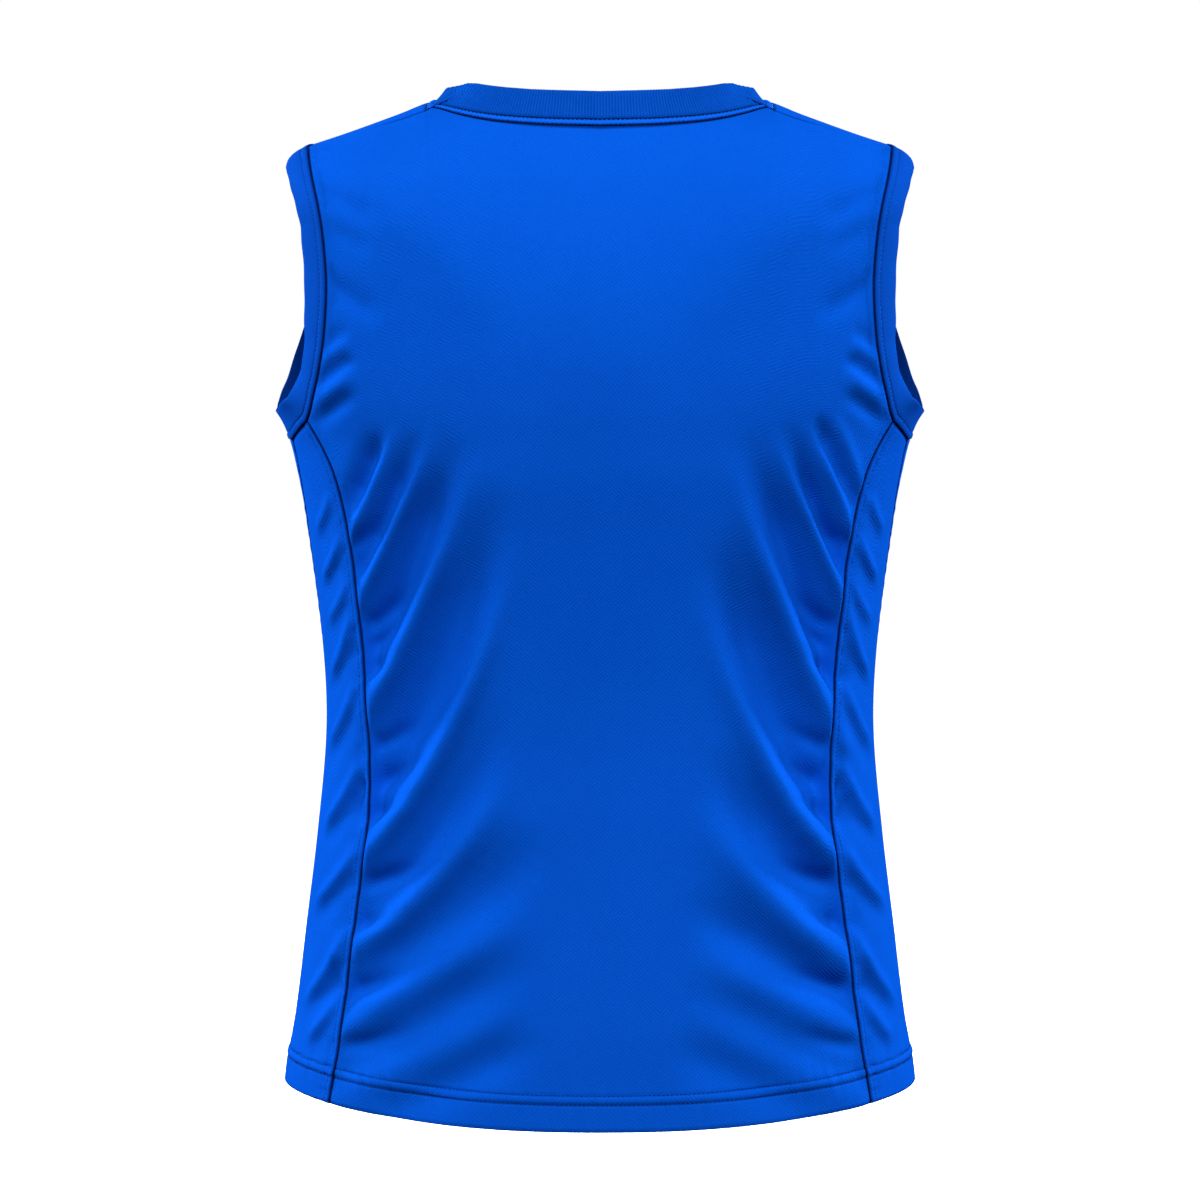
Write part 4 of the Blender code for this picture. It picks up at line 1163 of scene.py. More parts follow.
@dataclass(frozen=True)
class SidePanel:
    """A narrow side panel, from the underarm to the hem.

    Attributes:
        hand: left or right.
        flat: width and length of the cut.
        area: area of the cut.
        wall: thickness of the shell.
        plain_columns: how many columns lie between those next to its seams.
        edge_steps: distances from the back seam of the columns next to it.
        far_steps: distances from the front seam of the columns next to that.
        sag: dip of its top edge between its seams.
        width_samples: places by which a row's width is measured.
    """

    hand: Hand
    flat: Two
    area: float
    wall: float = 0.0010
    plain_columns: int = 40
    edge_steps: tuple[float, ...] = (
        0.0, 0.0003, 0.0007, 0.0012, 0.0020, 0.0030, 0.0038, 0.0042, 0.0045, 0.0048, 0.0052,
        0.0056, 0.0060, 0.0068, 0.0080,
    )
    far_steps: tuple[float, ...] = (0.0026, 0.0015, 0.0008, 0.0004, 0.0)
    sag: float = 0.0008
    width_samples: int = 24

    def places(self, pattern: Pattern) -> Array:
        """The panel's grid of places, its columns from the back seam to the front seam.

        The columns next to a seam keep their distance from it in metres. The others are
        spread evenly between them.

        Args:
            pattern: the cutting lines and the rows.

        Returns:
            Pairs of angle and height, by row and column.
        """
        cut = pattern.cut
        back = pattern.side_edge(Facing.BACK)[0]
        front = pattern.side_edge(Facing.FRONT)[0] - FULL_TURN
        sample = np.linspace(0.0, 1.0, self.width_samples)[None, :, None]
        between = (1 - sample) * back[:, None] + sample * front[:, None]
        width = cut.form.cloth_run(between, 1)[:, -1:]
        near = np.array(self.edge_steps)[None] / width
        far = 1 - np.array(self.far_steps)[None] / width
        even = np.linspace(0.0, 1.0, self.plain_columns + 2)[None, 1:-1]
        plain = near[:, -1:] + (far[:, :1] - near[:, -1:]) * even
        s = np.concatenate([near, plain, far], axis=1)[..., None]
        grid = (1 - s) * back[:, None] + s * front[:, None]
        grid[0] = cut.hem(grid[0, :, 0])
        grid[-1, :, 1] -= self.sag * np.sin(math.pi * s[-1, :, 0])
        if self.hand is Hand.RIGHT:
            grid[..., 0] = 180.0 - grid[..., 0]
        return grid

    def build(self, pattern: Pattern) -> BuiltPanel:
        """Lay the panel on the folded cloth and give it its felled seam and its hem.

        Args:
            pattern: what it is made from.

        Returns:
            The panel with its object and its lengths.
        """
        sewing = pattern.sewing
        points, normals = pattern.cloth.place(self.places(pattern))
        across, up = run_along(points, 1), run_along(points, 0)
        borders = (across, across[:, -1:] - across, up[-1:] - up)
        relief = sewing.rolled_edge(*borders, up) + sewing.hem(up, across)
        relief = relief + sewing.felled(across, up)
        outer = points + relief[..., None] * normals
        # painted shadow along the edges, in the hem's needle lines and in the felled seam's needle
        # line
        depth = sewing.edge_shadow(*borders) + sewing.hem_shadow(up)
        depth = depth + sewing.needle_shadow(across, sewing.felled_line, sewing.seam_share)
        piece = shell_piece(f"side_panel_{self.hand.label}", outer, points - self.wall * normals,
                            pair(across, up), normals, depth)
        return BuiltPanel(piece, outer, normals, up, across)


# ---- bands, tape and collar

@dataclass(frozen=True)
class StripPath:
    """The line that a strip is sewn along, and the directions there.

    Attributes:
        points: points of the line, closed on itself.
        across: unit directions across the strip, away from the line.
        normals: unit directions up from the strip.
        bend: how far it turns outwards over its width, in radians.
    """

    points: Array
    across: Array
    normals: Array
    bend: Array

    @property
    def run(self) -> Array:
        """Metres along the line, one more than it has points."""
        return closed_run(self.points)

    def carry(self, reach: Array, height: Array, width: float) -> Array:
        """Carry a cross-section along the line.

        The strip leaves the cloth in its plane and turns by the bend times the square of
        the share of its width. Its run forward and up is that turn's cosine and sine summed
        over the way, as the first terms of their series.

        Args:
            reach: distance across of each ring, as a column.
            height: height over the strip's face, by ring and place.
            width: the strip's width.

        Returns:
            Points by ring and place.
        """
        share, bend = reach / width, self.bend[None]
        turn = bend * share ** 2
        forward = width * (share - bend ** 2 * share ** 5 / 10 + bend ** 4 * share ** 9 / 216)
        upward = width * (bend * share ** 3 / 3 - bend ** 3 * share ** 7 / 42)
        forward = (forward - height * np.sin(turn))[..., None]
        upward = (upward + height * np.cos(turn))[..., None]
        return self.points[None] + forward * self.across[None] + upward * self.normals[None]

    def finer(self, count: int) -> "StripPath":
        """The same path with more places, evenly spaced by place number.

        Args:
            count: how many.

        Returns:
            The path.
        """
        length = len(self.points)
        place = np.arange(count) * length / count
        first = np.floor(place).astype(int)
        share = place - first
        second = (first + 1) % length

        def between(line: Array) -> Array:
            """The line read between its neighbouring places."""
            part = share[:, None] if line.ndim > 1 else share
            return line[first] * (1 - part) + line[second] * part

        return StripPath(between(self.points), unit(between(self.across)),
                         unit(between(self.normals)), between(self.bend))


def strip_path(loop: Array, normals: Array, bend: Array, gap: float = 0.0003,
               softness: float = 0.018, sharpest: float = -0.7) -> StripPath:
    """A strip's path: half a seam's gap off a closed line, into its hole.

    The directions across and the bends are averaged over their neighbourhood, weighed by a
    bell of the length between, so the strip turns corners softly.

    Args:
        loop: points of the seam.
        normals: the cloth's normals there.
        bend: the strip's bend there, in radians.
        gap: the seam's gap.
        softness: the bell's half width.
        sharpest: least cosine of a corner's turn at which the whole gap is kept.

    Returns:
        The path.
    """
    after = np.roll(loop, -1, axis=0)
    ahead = unit(after - loop)
    tangent = unit(after - np.roll(loop, 1, axis=0))
    across = unit(np.cross(normals, tangent))
    hand = 1.0 if np.sum(across * (loop.mean(axis=0) - loop)) > 0 else -1.0
    left = unit(np.cross(normals, ahead))
    behind = unit(np.cross(normals, np.roll(ahead, 1, axis=0)))
    agree = np.clip(np.sum(left * behind, axis=1, keepdims=True), sharpest, 1.0)
    moved = loop + hand * gap / 2 * (left + behind) / (1 + agree)
    lengths = np.linalg.norm(after - loop, axis=1)
    places = run_along(loop, 0)
    apart = np.abs(places[:, None] - places[None])
    apart = np.minimum(apart, lengths.sum() - apart)
    weights = np.exp(-(apart / softness) ** 2) * (lengths + np.roll(lengths, 1))[None]
    across = weights @ (across * hand)
    across = unit(across - np.sum(across * normals, axis=1, keepdims=True) * normals)
    return StripPath(moved, across, normals, weights @ bend / weights.sum(axis=1))


def nearest_ring(reach: Array, at: float) -> int:
    """The first ring of a cross-section that lies nearest to a distance across it."""
    return int(np.argmin(np.abs(reach[:, 0] - at)))


@dataclass(frozen=True)
class BuiltStrip:
    """A finished strip and the lines that its stitches lie on.

    Attributes:
        piece: its object.
        lines: pairs of points and normals of closed needle lines.
    """

    piece: Thing
    lines: list[Couple]


@dataclass(frozen=True)
class ArmholeBand:
    """The folded band round an armhole.

    Attributes:
        hand: left or right.
        flat: width and length of what shows of its cut.
        area: area of that.
        width: from its seam to its folded edge.
        profile: cross-section, as distance across and height in mm.
        needle: distance of its needle line from the seam.
        bend_back: outward bend in degrees by share of the way down the back armhole.
        bend_under: the same under the arm.
        bend_front: the same by share of the way up the front armhole.
        waviness: height of the band's slow waves.
        waves: share of that height, radians a metre and start of each.
        edge_places: places along the back and the front armhole.
        inner_side: height in the cross-section below which a ring is inside the garment.
    """

    hand: Hand
    flat: Two
    area: float
    width: float = 0.0210
    profile: tuple = (
        (0.0, -0.4), (0.3, 0.2), (0.9, 0.6), (1.8, 0.8), (3.0, 0.8), (3.9, 0.6), (4.4, 0.1),
        (4.8, -0.3), (5.2, -0.2), (5.7, 0.1), (6.6, 0.2), (9.0, 0.2), (12.0, 0.2), (15.0, 0.2),
        (17.5, 0.1), (19.0, 0.0), (20.1, -0.2), (20.7, -0.5), (21.0, -1.0), (20.7, -1.5),
        (20.0, -1.9), (18.0, -2.0), (14.0, -2.0), (10.0, -2.0), (6.0, -2.0), (2.0, -2.0),
        (0.3, -1.8),
    )
    needle: float = 0.0048
    bend_back: tuple = (
        (0.00, -66.0), (0.15, -50.0), (0.30, -28.0), (0.55, -26.0), (0.70, -42.0),
        (0.82, -62.0), (0.90, -48.0), (0.96, -18.0), (1.00, 10.0),
    )
    bend_under: float = 28.0
    bend_front: tuple = (
        (0.00, 28.0), (0.30, 26.0), (0.70, -14.0), (0.88, -50.0), (1.00, -66.0),
    )
    waviness: float = 0.00022
    waves: tuple[Three, ...] = ((1.0, 230.0, 0.0), (0.6, 93.0, 1.0))
    edge_places: int = 86
    inner_side: float = -0.0012

    def path(self, pattern: Pattern, side: SidePanel) -> StripPath:
        """The armhole's path, from the shoulder seam down the back, under and up the front.

        Args:
            pattern: what it is made from.
            side: the side panel under it.

        Returns:
            The path.
        """
        ends = (pattern.plan.seam_shares(), np.linspace(0.0, 1.0, self.edge_places))
        back = pattern.cut.side_edge(Facing.BACK, *ends)[1][::-1]
        under = replace(side, hand=Hand.LEFT).places(pattern)[-1]
        front = pattern.cut.side_edge(Facing.FRONT, *ends)[1] - FULL_TURN
        places = np.concatenate([back[:-1], under[:-1], front[:-1]])
        down, up = np.linspace(0, 1, len(back) - 1), np.linspace(0, 1, len(front) - 1)
        bends = np.concatenate([
            np.interp(down, *np.transpose(self.bend_back)),
            np.full(len(under) - 1, self.bend_under),
            np.interp(up, *np.transpose(self.bend_front)),
        ])
        if self.hand is Hand.RIGHT:
            places[:, 0] = 180.0 - places[:, 0]
        points, normals = pattern.cloth.place(places)
        return strip_path(points, normals, np.radians(bends))

    def build(self, pattern: Pattern, side: SidePanel) -> BuiltStrip:
        """Carry the band's cross-section round the armhole.

        Its face has two slow sine waves along it, which grow with the square of the share
        of its width.

        Args:
            pattern: what it is made from.
            side: the side panel under it.

        Returns:
            The band and its needle line.
        """
        sewing = pattern.sewing
        path = self.path(pattern, side)
        profile = np.array(self.profile) / METRE
        reach, height = profile[:, :1], profile[:, 1:]
        run = path.run[None, :-1]
        waves = ripple(self.waves, run)
        height = height + self.waviness * (reach / self.width) ** 2 * waves
        rings = path.carry(reach, height, self.width)
        across = closed_run(profile)
        # painted shadow at the band's seam and in its needle line
        depth = sewing.edge_shadow(reach)
        depth = depth + sewing.needle_shadow(reach, self.needle, sewing.seam_share)
        # painted shade on the band's inner side, inside the garment
        depth = np.where(height < self.inner_side, INSIDE_SHADE, depth)
        piece = ring_piece(f"armhole_band_{self.hand.label}_cloth", rings, path.run, across, depth)
        line = nearest_ring(reach, self.needle)
        return BuiltStrip(piece, [(rings[line], path.normals)])


@dataclass(frozen=True)
class NeckTrim:
    """The neck tape and the ribbed collar, which share the neckline's path.

    Attributes:
        tape_flat: width and length of the tape.
        tape_area: its area.
        collar_flat: width and length of what shows of the collar's cut.
        collar_area: area of that.
        tape_width: width of the tape.
        tape_profile: its cross-section, as distance across and height in mm.
        tape_lines: distances of its needle lines from its outer edge.
        lean: share of the collar's rise that the tape bends through.
        collar_width: from its seam to its folded edge.
        collar_profile: its cross-section, as distance across and height in mm and share of
            the ribs' height.
        rise: degrees by which the collar stands up, by distance along the neckline from
            the middle of the back.
        fold: share of the rise taken at the seam.
        ribs: how many there are.
        rib_places: places along each rib's width.
        rib_power: how round a rib is; below one it is fuller than a sine.
        gap: between the tape and the collar.
        relief: half the height from groove to crown.
        groove: share of painted shade in a groove between the ribs.
        back_places: stretches of the path along half the back's neckline.
        front_places: the same along half the front's.
    """

    tape_flat: Two
    tape_area: float
    collar_flat: Two
    collar_area: float
    tape_width: float = 0.0050
    tape_profile: tuple = (
        (0.0, -0.4), (0.3, -0.1), (0.6, 0.1), (0.9, 0.4), (1.4, 0.7), (2.4, 0.9), (3.4, 0.7),
        (3.9, 0.4), (4.3, 0.2), (4.6, 0.0), (4.7, -0.4), (4.7, -1.8), (2.4, -1.8), (0.0, -1.8),
    )
    tape_lines: Two = (0.0006, 0.0043)
    lean: float = 0.2
    collar_width: float = 0.0225
    collar_profile: tuple = (
        (0.0, -0.8, 0.0), (0.3, -0.3, 0.3), (0.9, 0.0, 1.0), (3.0, 0.1, 1.0), (6.0, 0.1, 1.0),
        (9.0, 0.1, 1.0), (12.0, 0.1, 1.0), (15.0, 0.1, 1.0), (18.0, 0.1, 1.0),
        (20.3, 0.0, 1.0), (21.6, -0.3, 0.8), (22.3, -0.7, 0.5), (22.5, -1.2, 0.2),
        (22.2, -1.7, 0.0), (21.4, -2.1, 0.0), (16.0, -2.2, 0.0), (8.0, -2.2, 0.0),
        (0.3, -2.1, 0.0),
    )
    rise: tuple = (
        (0.000, 7.0), (0.050, 10.0), (0.070, 14.0), (0.086, 19.0), (0.098, 22.0),
        (0.107, 20.5), (0.117, 14.5), (0.127, 8.5), (0.140, 5.0), (0.160, 3.0),
        (0.200, 4.0), (0.260, 8.0),
    )
    fold: float = 0.6
    ribs: int = 280
    rib_places: int = 8
    rib_power: float = 0.7
    gap: float = 0.00015
    relief: float = 0.00042
    groove: float = 0.30
    back_places: int = 60
    front_places: int = 90

    def neck_path(self, pattern: Pattern) -> StripPath:
        """The neckline's path, from the middle of the back to the left and round.

        Args:
            pattern: what it is made from.

        Returns:
            The path, whose bend is the collar's rise.
        """
        back = pattern.cut.neckline(Facing.BACK, self.back_places)
        front = pattern.cut.neckline(Facing.FRONT, self.front_places)[::-1]
        points, normals = pattern.cloth.place(np.concatenate([back[:-1], front]))
        flip = np.array([-1.0, 1.0, 1.0])
        points = np.concatenate([points, points[-2:0:-1] * flip])
        normals = np.concatenate([normals, normals[-2:0:-1] * flip])
        points[0, 0] = 0.0
        path = strip_path(points, normals, np.zeros(len(points)))
        away = np.minimum(path.run, path.run[-1] - path.run)[:-1]
        rise = np.radians(np.interp(away, *np.transpose(self.rise)))
        return replace(path, bend=rise)

    def build_tape(self, path: StripPath, sewing: Sewing) -> BuiltStrip:
        """The tape over the neck seam, carried round the neckline.

        Args:
            path: the neckline's path.
            sewing: the shadow of edges.

        Returns:
            The tape and its two needle lines.
        """
        tape = replace(path, bend=path.bend * self.lean)
        profile = np.array(self.tape_profile) / METRE
        reach, height = profile[:, :1], profile[:, 1:]
        rings = tape.carry(reach, np.broadcast_to(height, (len(height), len(tape.points))),
                           self.tape_width)
        across = closed_run(profile)
        # painted shadow along both of the tape's edges
        depth = sewing.edge_shadow(reach, reach.max() - reach)
        piece = ring_piece("neck_tape_cloth", rings, tape.run, across, depth)
        lines = [(rings[nearest_ring(reach, at)], tape.normals) for at in self.tape_lines]
        return BuiltStrip(piece, lines)

    def build_collar(self, path: StripPath, sewing: Sewing) -> Thing:
        """The ribbed collar: fine ribs round its outer face and over its folded edge.

        The tape's end is the collar's start. From there the collar leaves by its share of
        the rise and rolls up by the rest; a strip climbs by a third of its bend, so its
        bend is three times that share. A rib is the absolute sine of its phase to the
        rib_power, from groove to crown.

        Args:
            path: the neckline's path.
            sewing: the shadow of edges.

        Returns:
            The collar's object.
        """
        tape = replace(path, bend=path.bend * self.lean)
        edge = tape.carry(np.array([[self.tape_width]]), np.zeros((1, 1)), self.tape_width)[0]
        lean = (path.bend * (self.lean + self.fold))[:, None]
        turned = path.across * np.cos(lean) + path.normals * np.sin(lean)
        upright = path.normals * np.cos(lean) - path.across * np.sin(lean)
        start = StripPath(edge + turned * self.gap, turned, upright,
                          path.bend * 3 * (1 - self.fold))
        fine = start.finer(self.ribs * self.rib_places)
        profile = np.array(self.collar_profile) / (METRE, METRE, 1.0)
        reach, height, ribbed = (column[:, None] for column in profile.T)
        phase = math.pi * (np.arange(self.ribs * self.rib_places)[None] + 0.5) / self.rib_places
        crown = 2 * np.abs(np.sin(phase)) ** self.rib_power - 1
        rings = fine.carry(reach, height + self.relief * ribbed * crown, self.collar_width)
        across = closed_run(profile[:, :2])
        # painted shadow at the collar's seam and painted shade in the grooves between the ribs
        depth = sewing.edge_shadow(reach) + self.groove * ribbed * (1 - crown) / 2
        return ring_piece("collar_rib_cloth", rings, fine.run, across, depth)


# ---- stitches

@dataclass(frozen=True)
class Stitching:
    """Runs of lockstitches: small bent spindles of thread that lie in a needle line.

    Attributes:
        pitch: from one stitch to the next.
        length: of the thread that shows of one.
        thickness: of the thread.
        lift: height of its middle over the line.
        dip: how far its ends sink below that.
        along: stations along a stitch, as shares of its length from its middle.
        swell: its thickness at each, as a share.
    """

    pitch: float = 0.0029
    length: float = 0.0022
    thickness: float = 0.00042
    lift: float = 0.00022
    dip: float = 0.00035
    along: tuple[float, ...] = (-0.5, -0.3, 0.0, 0.3, 0.5)
    swell: tuple[float, ...] = (0.35, 0.9, 1.0, 0.9, 0.35)

    def run(self, line: Couple, closed: bool) -> Couple:
        """The points and quads of the stitches along one line.

        A station's four corners stand round the line's point there: the thickness times
        the swell to each side and up and down, and the whole station sinks by the dip times
        the square of its share from the middle.

        Args:
            line: the line's points and normals.
            closed: whether its end meets its start.

        Returns:
            Points and quads, numbered from 0.
        """
        points, normals = line
        if closed:
            points, normals = (np.concatenate([part, part[:1]]) for part in (points, normals))
        length = run_along(points, 0)
        count = max(1, int(length[-1] / self.pitch))
        middle = (np.arange(count) + 0.5) * length[-1] / count
        at = middle[:, None] + np.array(self.along)[None] * self.length
        place = np.stack([np.interp(at, length, points[:, k]) for k in range(3)], axis=-1)
        up = unit(np.stack([np.interp(at, length, normals[:, k]) for k in range(3)], axis=-1))
        ahead = unit(place[:, -1] - place[:, 0])[:, None]
        side = unit(np.cross(up, ahead))
        share = np.array(self.along)[None, :, None] * 2
        centre = place + up * (self.lift - self.dip * share ** 2)
        radius = self.thickness / 2 * np.array(self.swell)[None, :, None]
        corners = np.stack([centre + side * radius, centre + up * radius,
                            centre - side * radius, centre - up * radius], axis=2)
        stations = len(self.along)
        k, c = np.meshgrid(np.arange(stations - 1), np.arange(4), indexing="ij")
        after = (c + 1) % 4
        wall = np.stack([4 * k + c, 4 * k + 4 + c, 4 * k + 4 + after, 4 * k + after], axis=-1)
        caps = np.array([[0, 1, 2, 3], [7, 6, 5, 4]]) + np.array([[0], [4 * (stations - 2)]])
        one = np.concatenate([wall.reshape(-1, 4), caps])
        quads = one[None] + (np.arange(count) * 4 * stations)[:, None, None]
        return corners.reshape(-1, 3), quads.reshape(-1, 4)

    def build(self, name: str, lines: list[Couple], closed: bool) -> Thing:
        """One object for the stitches of several lines.

        Args:
            name: the piece's name.
            lines: points and normals of each line.
            closed: whether the lines meet themselves.

        Returns:
            The object.
        """
        runs = [self.run(line, closed) for line in lines]
        starts = np.cumsum([0] + [len(points) for points, _ in runs[:-1]])
        points = np.concatenate([points for points, _ in runs])
        quads = np.concatenate([quads + start for (_, quads), start in zip(runs, starts)])
        piece = make_piece(name, points, quads, np.zeros((len(quads), 4, 2)), np.zeros(len(points)))
        log.info("%s: %d stitches", name, len(points) // (4 * len(self.along)))
        return piece


# ---- finishes

class NodeSheet:
    """A node tree with short calls to add and join its nodes."""

    def __init__(self, tree: bpy.types.NodeTree) -> None:
        """Take the tree to work on and clear it."""
        self.tree = tree
        tree.nodes.clear()

    def add(self, kind: str, inputs: dict[str | int, object] | None = None,
            **settings: object) -> bpy.types.Node:
        """Add a node.

        Args:
            kind: its type.
            inputs: a value or another node's socket for each input, by name or number.
            settings: its own settings.

        Returns:
            The node.
        """
        node = self.tree.nodes.new(kind)
        for name, value in settings.items():
            setattr(node, name, value)
        for name, value in (inputs or {}).items():
            if isinstance(value, bpy.types.NodeSocket):
                self.tree.links.new(value, node.inputs[name])
            else:
                node.inputs[name].default_value = value
        return node

    def calc(self, operation: str, *values: object) -> bpy.types.NodeSocket:
        """The output of a Math node on sockets or numbers."""
        node = self.add("ShaderNodeMath", dict(enumerate(values)), operation=operation)
        return node.outputs[0]

    def mix(self, share: object, first: object, second: object) -> bpy.types.NodeSocket:
        """The output of a colour mix from first to second."""
        inputs = {0: share, 6: first, 7: second}        # the node's sockets for colours
        return self.add("ShaderNodeMix", inputs, data_type="RGBA").outputs[2]

    def noise(self, vector: object, scale: float, detail: float = 2.0) -> bpy.types.NodeSocket:
        """The value of a noise with so many cells a metre."""
        inputs = {"Vector": vector, "Scale": scale, "Detail": detail, "Roughness": 0.55}
        return self.add("ShaderNodeTexNoise", inputs).outputs[0]

    def group(self, tree: bpy.types.NodeTree, inputs: dict[str, object]) -> dict:
        """Place a group in the tree and return its output sockets by name."""
        node = self.add("ShaderNodeGroup", inputs, node_tree=tree)
        return {socket.name: socket for socket in node.outputs}

    def between(self, value: object, low: float, high: float) -> bpy.types.NodeSocket:
        """A value's smooth way from 0 at low to 1 at high."""
        inputs = {"Value": value, "From Min": low, "From Max": high}
        return self.add("ShaderNodeMapRange", inputs, interpolation_type="SMOOTHSTEP").outputs[0]


def new_group(name: str, inputs: dict[str, str], outputs: dict[str, str]) -> tuple[NodeSheet, dict]:
    """An empty shader node group with named sockets.

    Args:
        name: the group's name.
        inputs: kind of each input, by name.
        outputs: kind of each output, by name.

    Returns:
        Its sheet and its input sockets by name.
    """
    tree = bpy.data.node_groups.new(name, "ShaderNodeTree")
    for direction, sockets in (("INPUT", inputs), ("OUTPUT", outputs)):
        for label, kind in sockets.items():
            tree.interface.new_socket(label, in_out=direction, socket_type=f"NodeSocket{kind}")
    sheet = NodeSheet(tree)
    entry = sheet.add("NodeGroupInput")
    return sheet, {label: entry.outputs[label] for label in inputs}


class FabricEffects:
    """The effects that the fabrics share, each a node group built once."""

    def __init__(self) -> None:
        """Build the groups."""
        self.tone = self.build_tone()
        self.knit = self.build_knit()
        self.loops = self.build_loops()

    @staticmethod
    def build_tone() -> bpy.types.NodeTree:
        """Uneven dyeing and pressing: broad soft patches and finer clouding.

        Returns:
            The group.
        """
        sheet, given = new_group(
            "cloth_tone",
            {"Place": "Vector", "Colour": "Color", "Deep colour": "Color", "Strength": "Float"},
            {"Colour": "Color", "Patches": "Float"})
        broad = sheet.noise(given["Place"], scale=14.0, detail=3.0)
        fine = sheet.noise(given["Place"], scale=190.0)
        patches = sheet.calc("ADD", sheet.calc("MULTIPLY", broad, 0.65),
                             sheet.calc("MULTIPLY", fine, 0.35))
        patches = sheet.between(patches, low=0.32, high=0.68)
        colour = sheet.mix(sheet.calc("MULTIPLY", patches, given["Strength"]),
                           given["Colour"], given["Deep colour"])
        sheet.add("NodeGroupOutput", {"Colour": colour, "Patches": patches})
        return sheet.tree

    @staticmethod
    def build_knit() -> bpy.types.NodeTree:
        """Fine knit seen from afar: short slanting strokes that change their slant.

        Two sines run across the cloth's two diagonals, and soft patches of noise choose
        between them; a finer noise breaks the strokes up.

        Returns:
            The group.
        """
        sheet, given = new_group(
            "knit_strokes",
            {"Cloth": "Vector", "Pitch": "Float", "Colour": "Color", "Deep colour": "Color",
             "Contrast": "Float"},
            {"Colour": "Color", "Relief": "Float"})
        axes = sheet.add("ShaderNodeSeparateXYZ", {0: given["Cloth"]}).outputs
        turns = sheet.calc("DIVIDE", math.pi * math.sqrt(2), given["Pitch"])
        rising, falling = (
            sheet.calc("SINE", sheet.calc("MULTIPLY", sheet.calc(way, axes[0], axes[1]), turns))
            for way in ("ADD", "SUBTRACT"))
        choose = sheet.between(sheet.noise(given["Cloth"], scale=130.0), low=0.46, high=0.54)
        strokes = sheet.calc("ADD", sheet.calc("MULTIPLY", rising, choose), sheet.calc(
            "MULTIPLY", falling, sheet.calc("SUBTRACT", 1.0, choose)))
        fine = sheet.noise(given["Cloth"], scale=420.0, detail=1.0)
        broken = sheet.between(fine, low=0.3, high=0.6)
        strokes = sheet.calc("MULTIPLY_ADD", sheet.calc("MULTIPLY", strokes, broken), 0.5, 0.5)
        colour = sheet.mix(sheet.calc("MULTIPLY", strokes, given["Contrast"]),
                           given["Colour"], given["Deep colour"])
        sheet.add("NodeGroupOutput", {"Colour": colour, "Relief": strokes})
        return sheet.tree

    @staticmethod
    def build_loops() -> bpy.types.NodeTree:
        """Rows of knitted loops along a rib: a sine across the rows, bent by one along them.

        Returns:
            The group.
        """
        sheet, given = new_group(
            "rib_loops", {"Cloth": "Vector", "Pitch": "Float", "Rib": "Float"},
            {"Relief": "Float"})
        axes = sheet.add("ShaderNodeSeparateXYZ", {0: given["Cloth"]}).outputs
        along = sheet.calc("MULTIPLY", sheet.calc("DIVIDE", axes[0], given["Rib"]), math.pi)
        bow = sheet.calc("MULTIPLY", sheet.calc("ABSOLUTE", sheet.calc("SINE", along)), 0.9)
        across = sheet.calc("MULTIPLY", sheet.calc("DIVIDE", axes[1], given["Pitch"]), 2 * math.pi)
        wave = sheet.calc("SINE", sheet.calc("ADD", across, bow))
        sheet.add("NodeGroupOutput", {"Relief": sheet.calc("MULTIPLY_ADD", wave, 0.5, 0.5)})
        return sheet.tree


SHADE_NAVY = (0.0002, 0.004, 0.045, 1.0)        # painted shade: the navy that the thread and cloth in a seam, needle lines, rib grooves and the cloth's inner side are mixed towards


class Texture(Enum):
    """The surface that a finish has close up."""

    STROKES = "fine knit"
    LOOPS = "ribbed knit"
    THREAD = "sewing thread"


@dataclass(frozen=True)
class Finish:
    """One fabric of the jersey.

    Attributes:
        name: the material's name.
        texture: its surface close up.
        colour: its main colour, linear.
        deep: the colour of its deeper tones.
        tone: strength of its broad patches.
        contrast: strength of its strokes.
        pitch: spacing of its strokes or loops.
        relief: their height.
        roughness: of the fabric.
        specular: its specular level.
    """

    name: str
    texture: Texture
    colour: Three
    deep: Three
    tone: float = 0.5
    contrast: float = 0.9
    pitch: float = 0.0019
    relief: float = 0.00014
    roughness: float = 0.55
    specular: float = 0.0

    def material(self, effects: FabricEffects) -> bpy.types.Material:
        """Build the material from the shared effects.

        Args:
            effects: the node groups.

        Returns:
            The material.
        """
        material = bpy.data.materials.new(self.name)
        material.use_nodes = True
        sheet = NodeSheet(material.node_tree)
        place = sheet.add("ShaderNodeTexCoord").outputs["Object"]
        cloth = sheet.add("ShaderNodeUVMap", uv_map="cloth").outputs["UV"]
        colour, deep = (*self.colour, 1.0), (*self.deep, 1.0)
        tone = sheet.group(effects.tone, {
            "Place": place, "Colour": colour, "Deep colour": deep, "Strength": self.tone})
        shown, relief = tone["Colour"], tone["Patches"]
        if self.texture is Texture.STROKES:
            strokes = sheet.group(effects.knit, {
                "Cloth": cloth, "Pitch": self.pitch, "Colour": shown, "Deep colour": deep,
                "Contrast": self.contrast})
            shown, relief = strokes["Colour"], strokes["Relief"]
        elif self.texture is Texture.LOOPS:
            relief = sheet.group(effects.loops, {
                "Cloth": cloth, "Pitch": self.pitch, "Rib": 2 * self.pitch})["Relief"]
            shown = sheet.mix(sheet.calc("MULTIPLY", relief, self.contrast), shown, deep)
        # painted shade: the seam attribute mixes the colour towards navy in seams, needle lines,
        # rib grooves and on the inner side
        seam = sheet.add("ShaderNodeAttribute", attribute_name="seam").outputs["Fac"]
        shown = sheet.mix(seam, shown, SHADE_NAVY)
        bump = sheet.add("ShaderNodeBump", {"Height": relief, "Distance": self.relief})
        shader = sheet.add("ShaderNodeBsdfPrincipled", {
            "Base Color": shown, "Normal": bump.outputs[0],
            "Roughness": self.roughness, "Specular IOR Level": self.specular})
        sheet.add("ShaderNodeOutputMaterial", {"Surface": shader.outputs[0]})
        return material


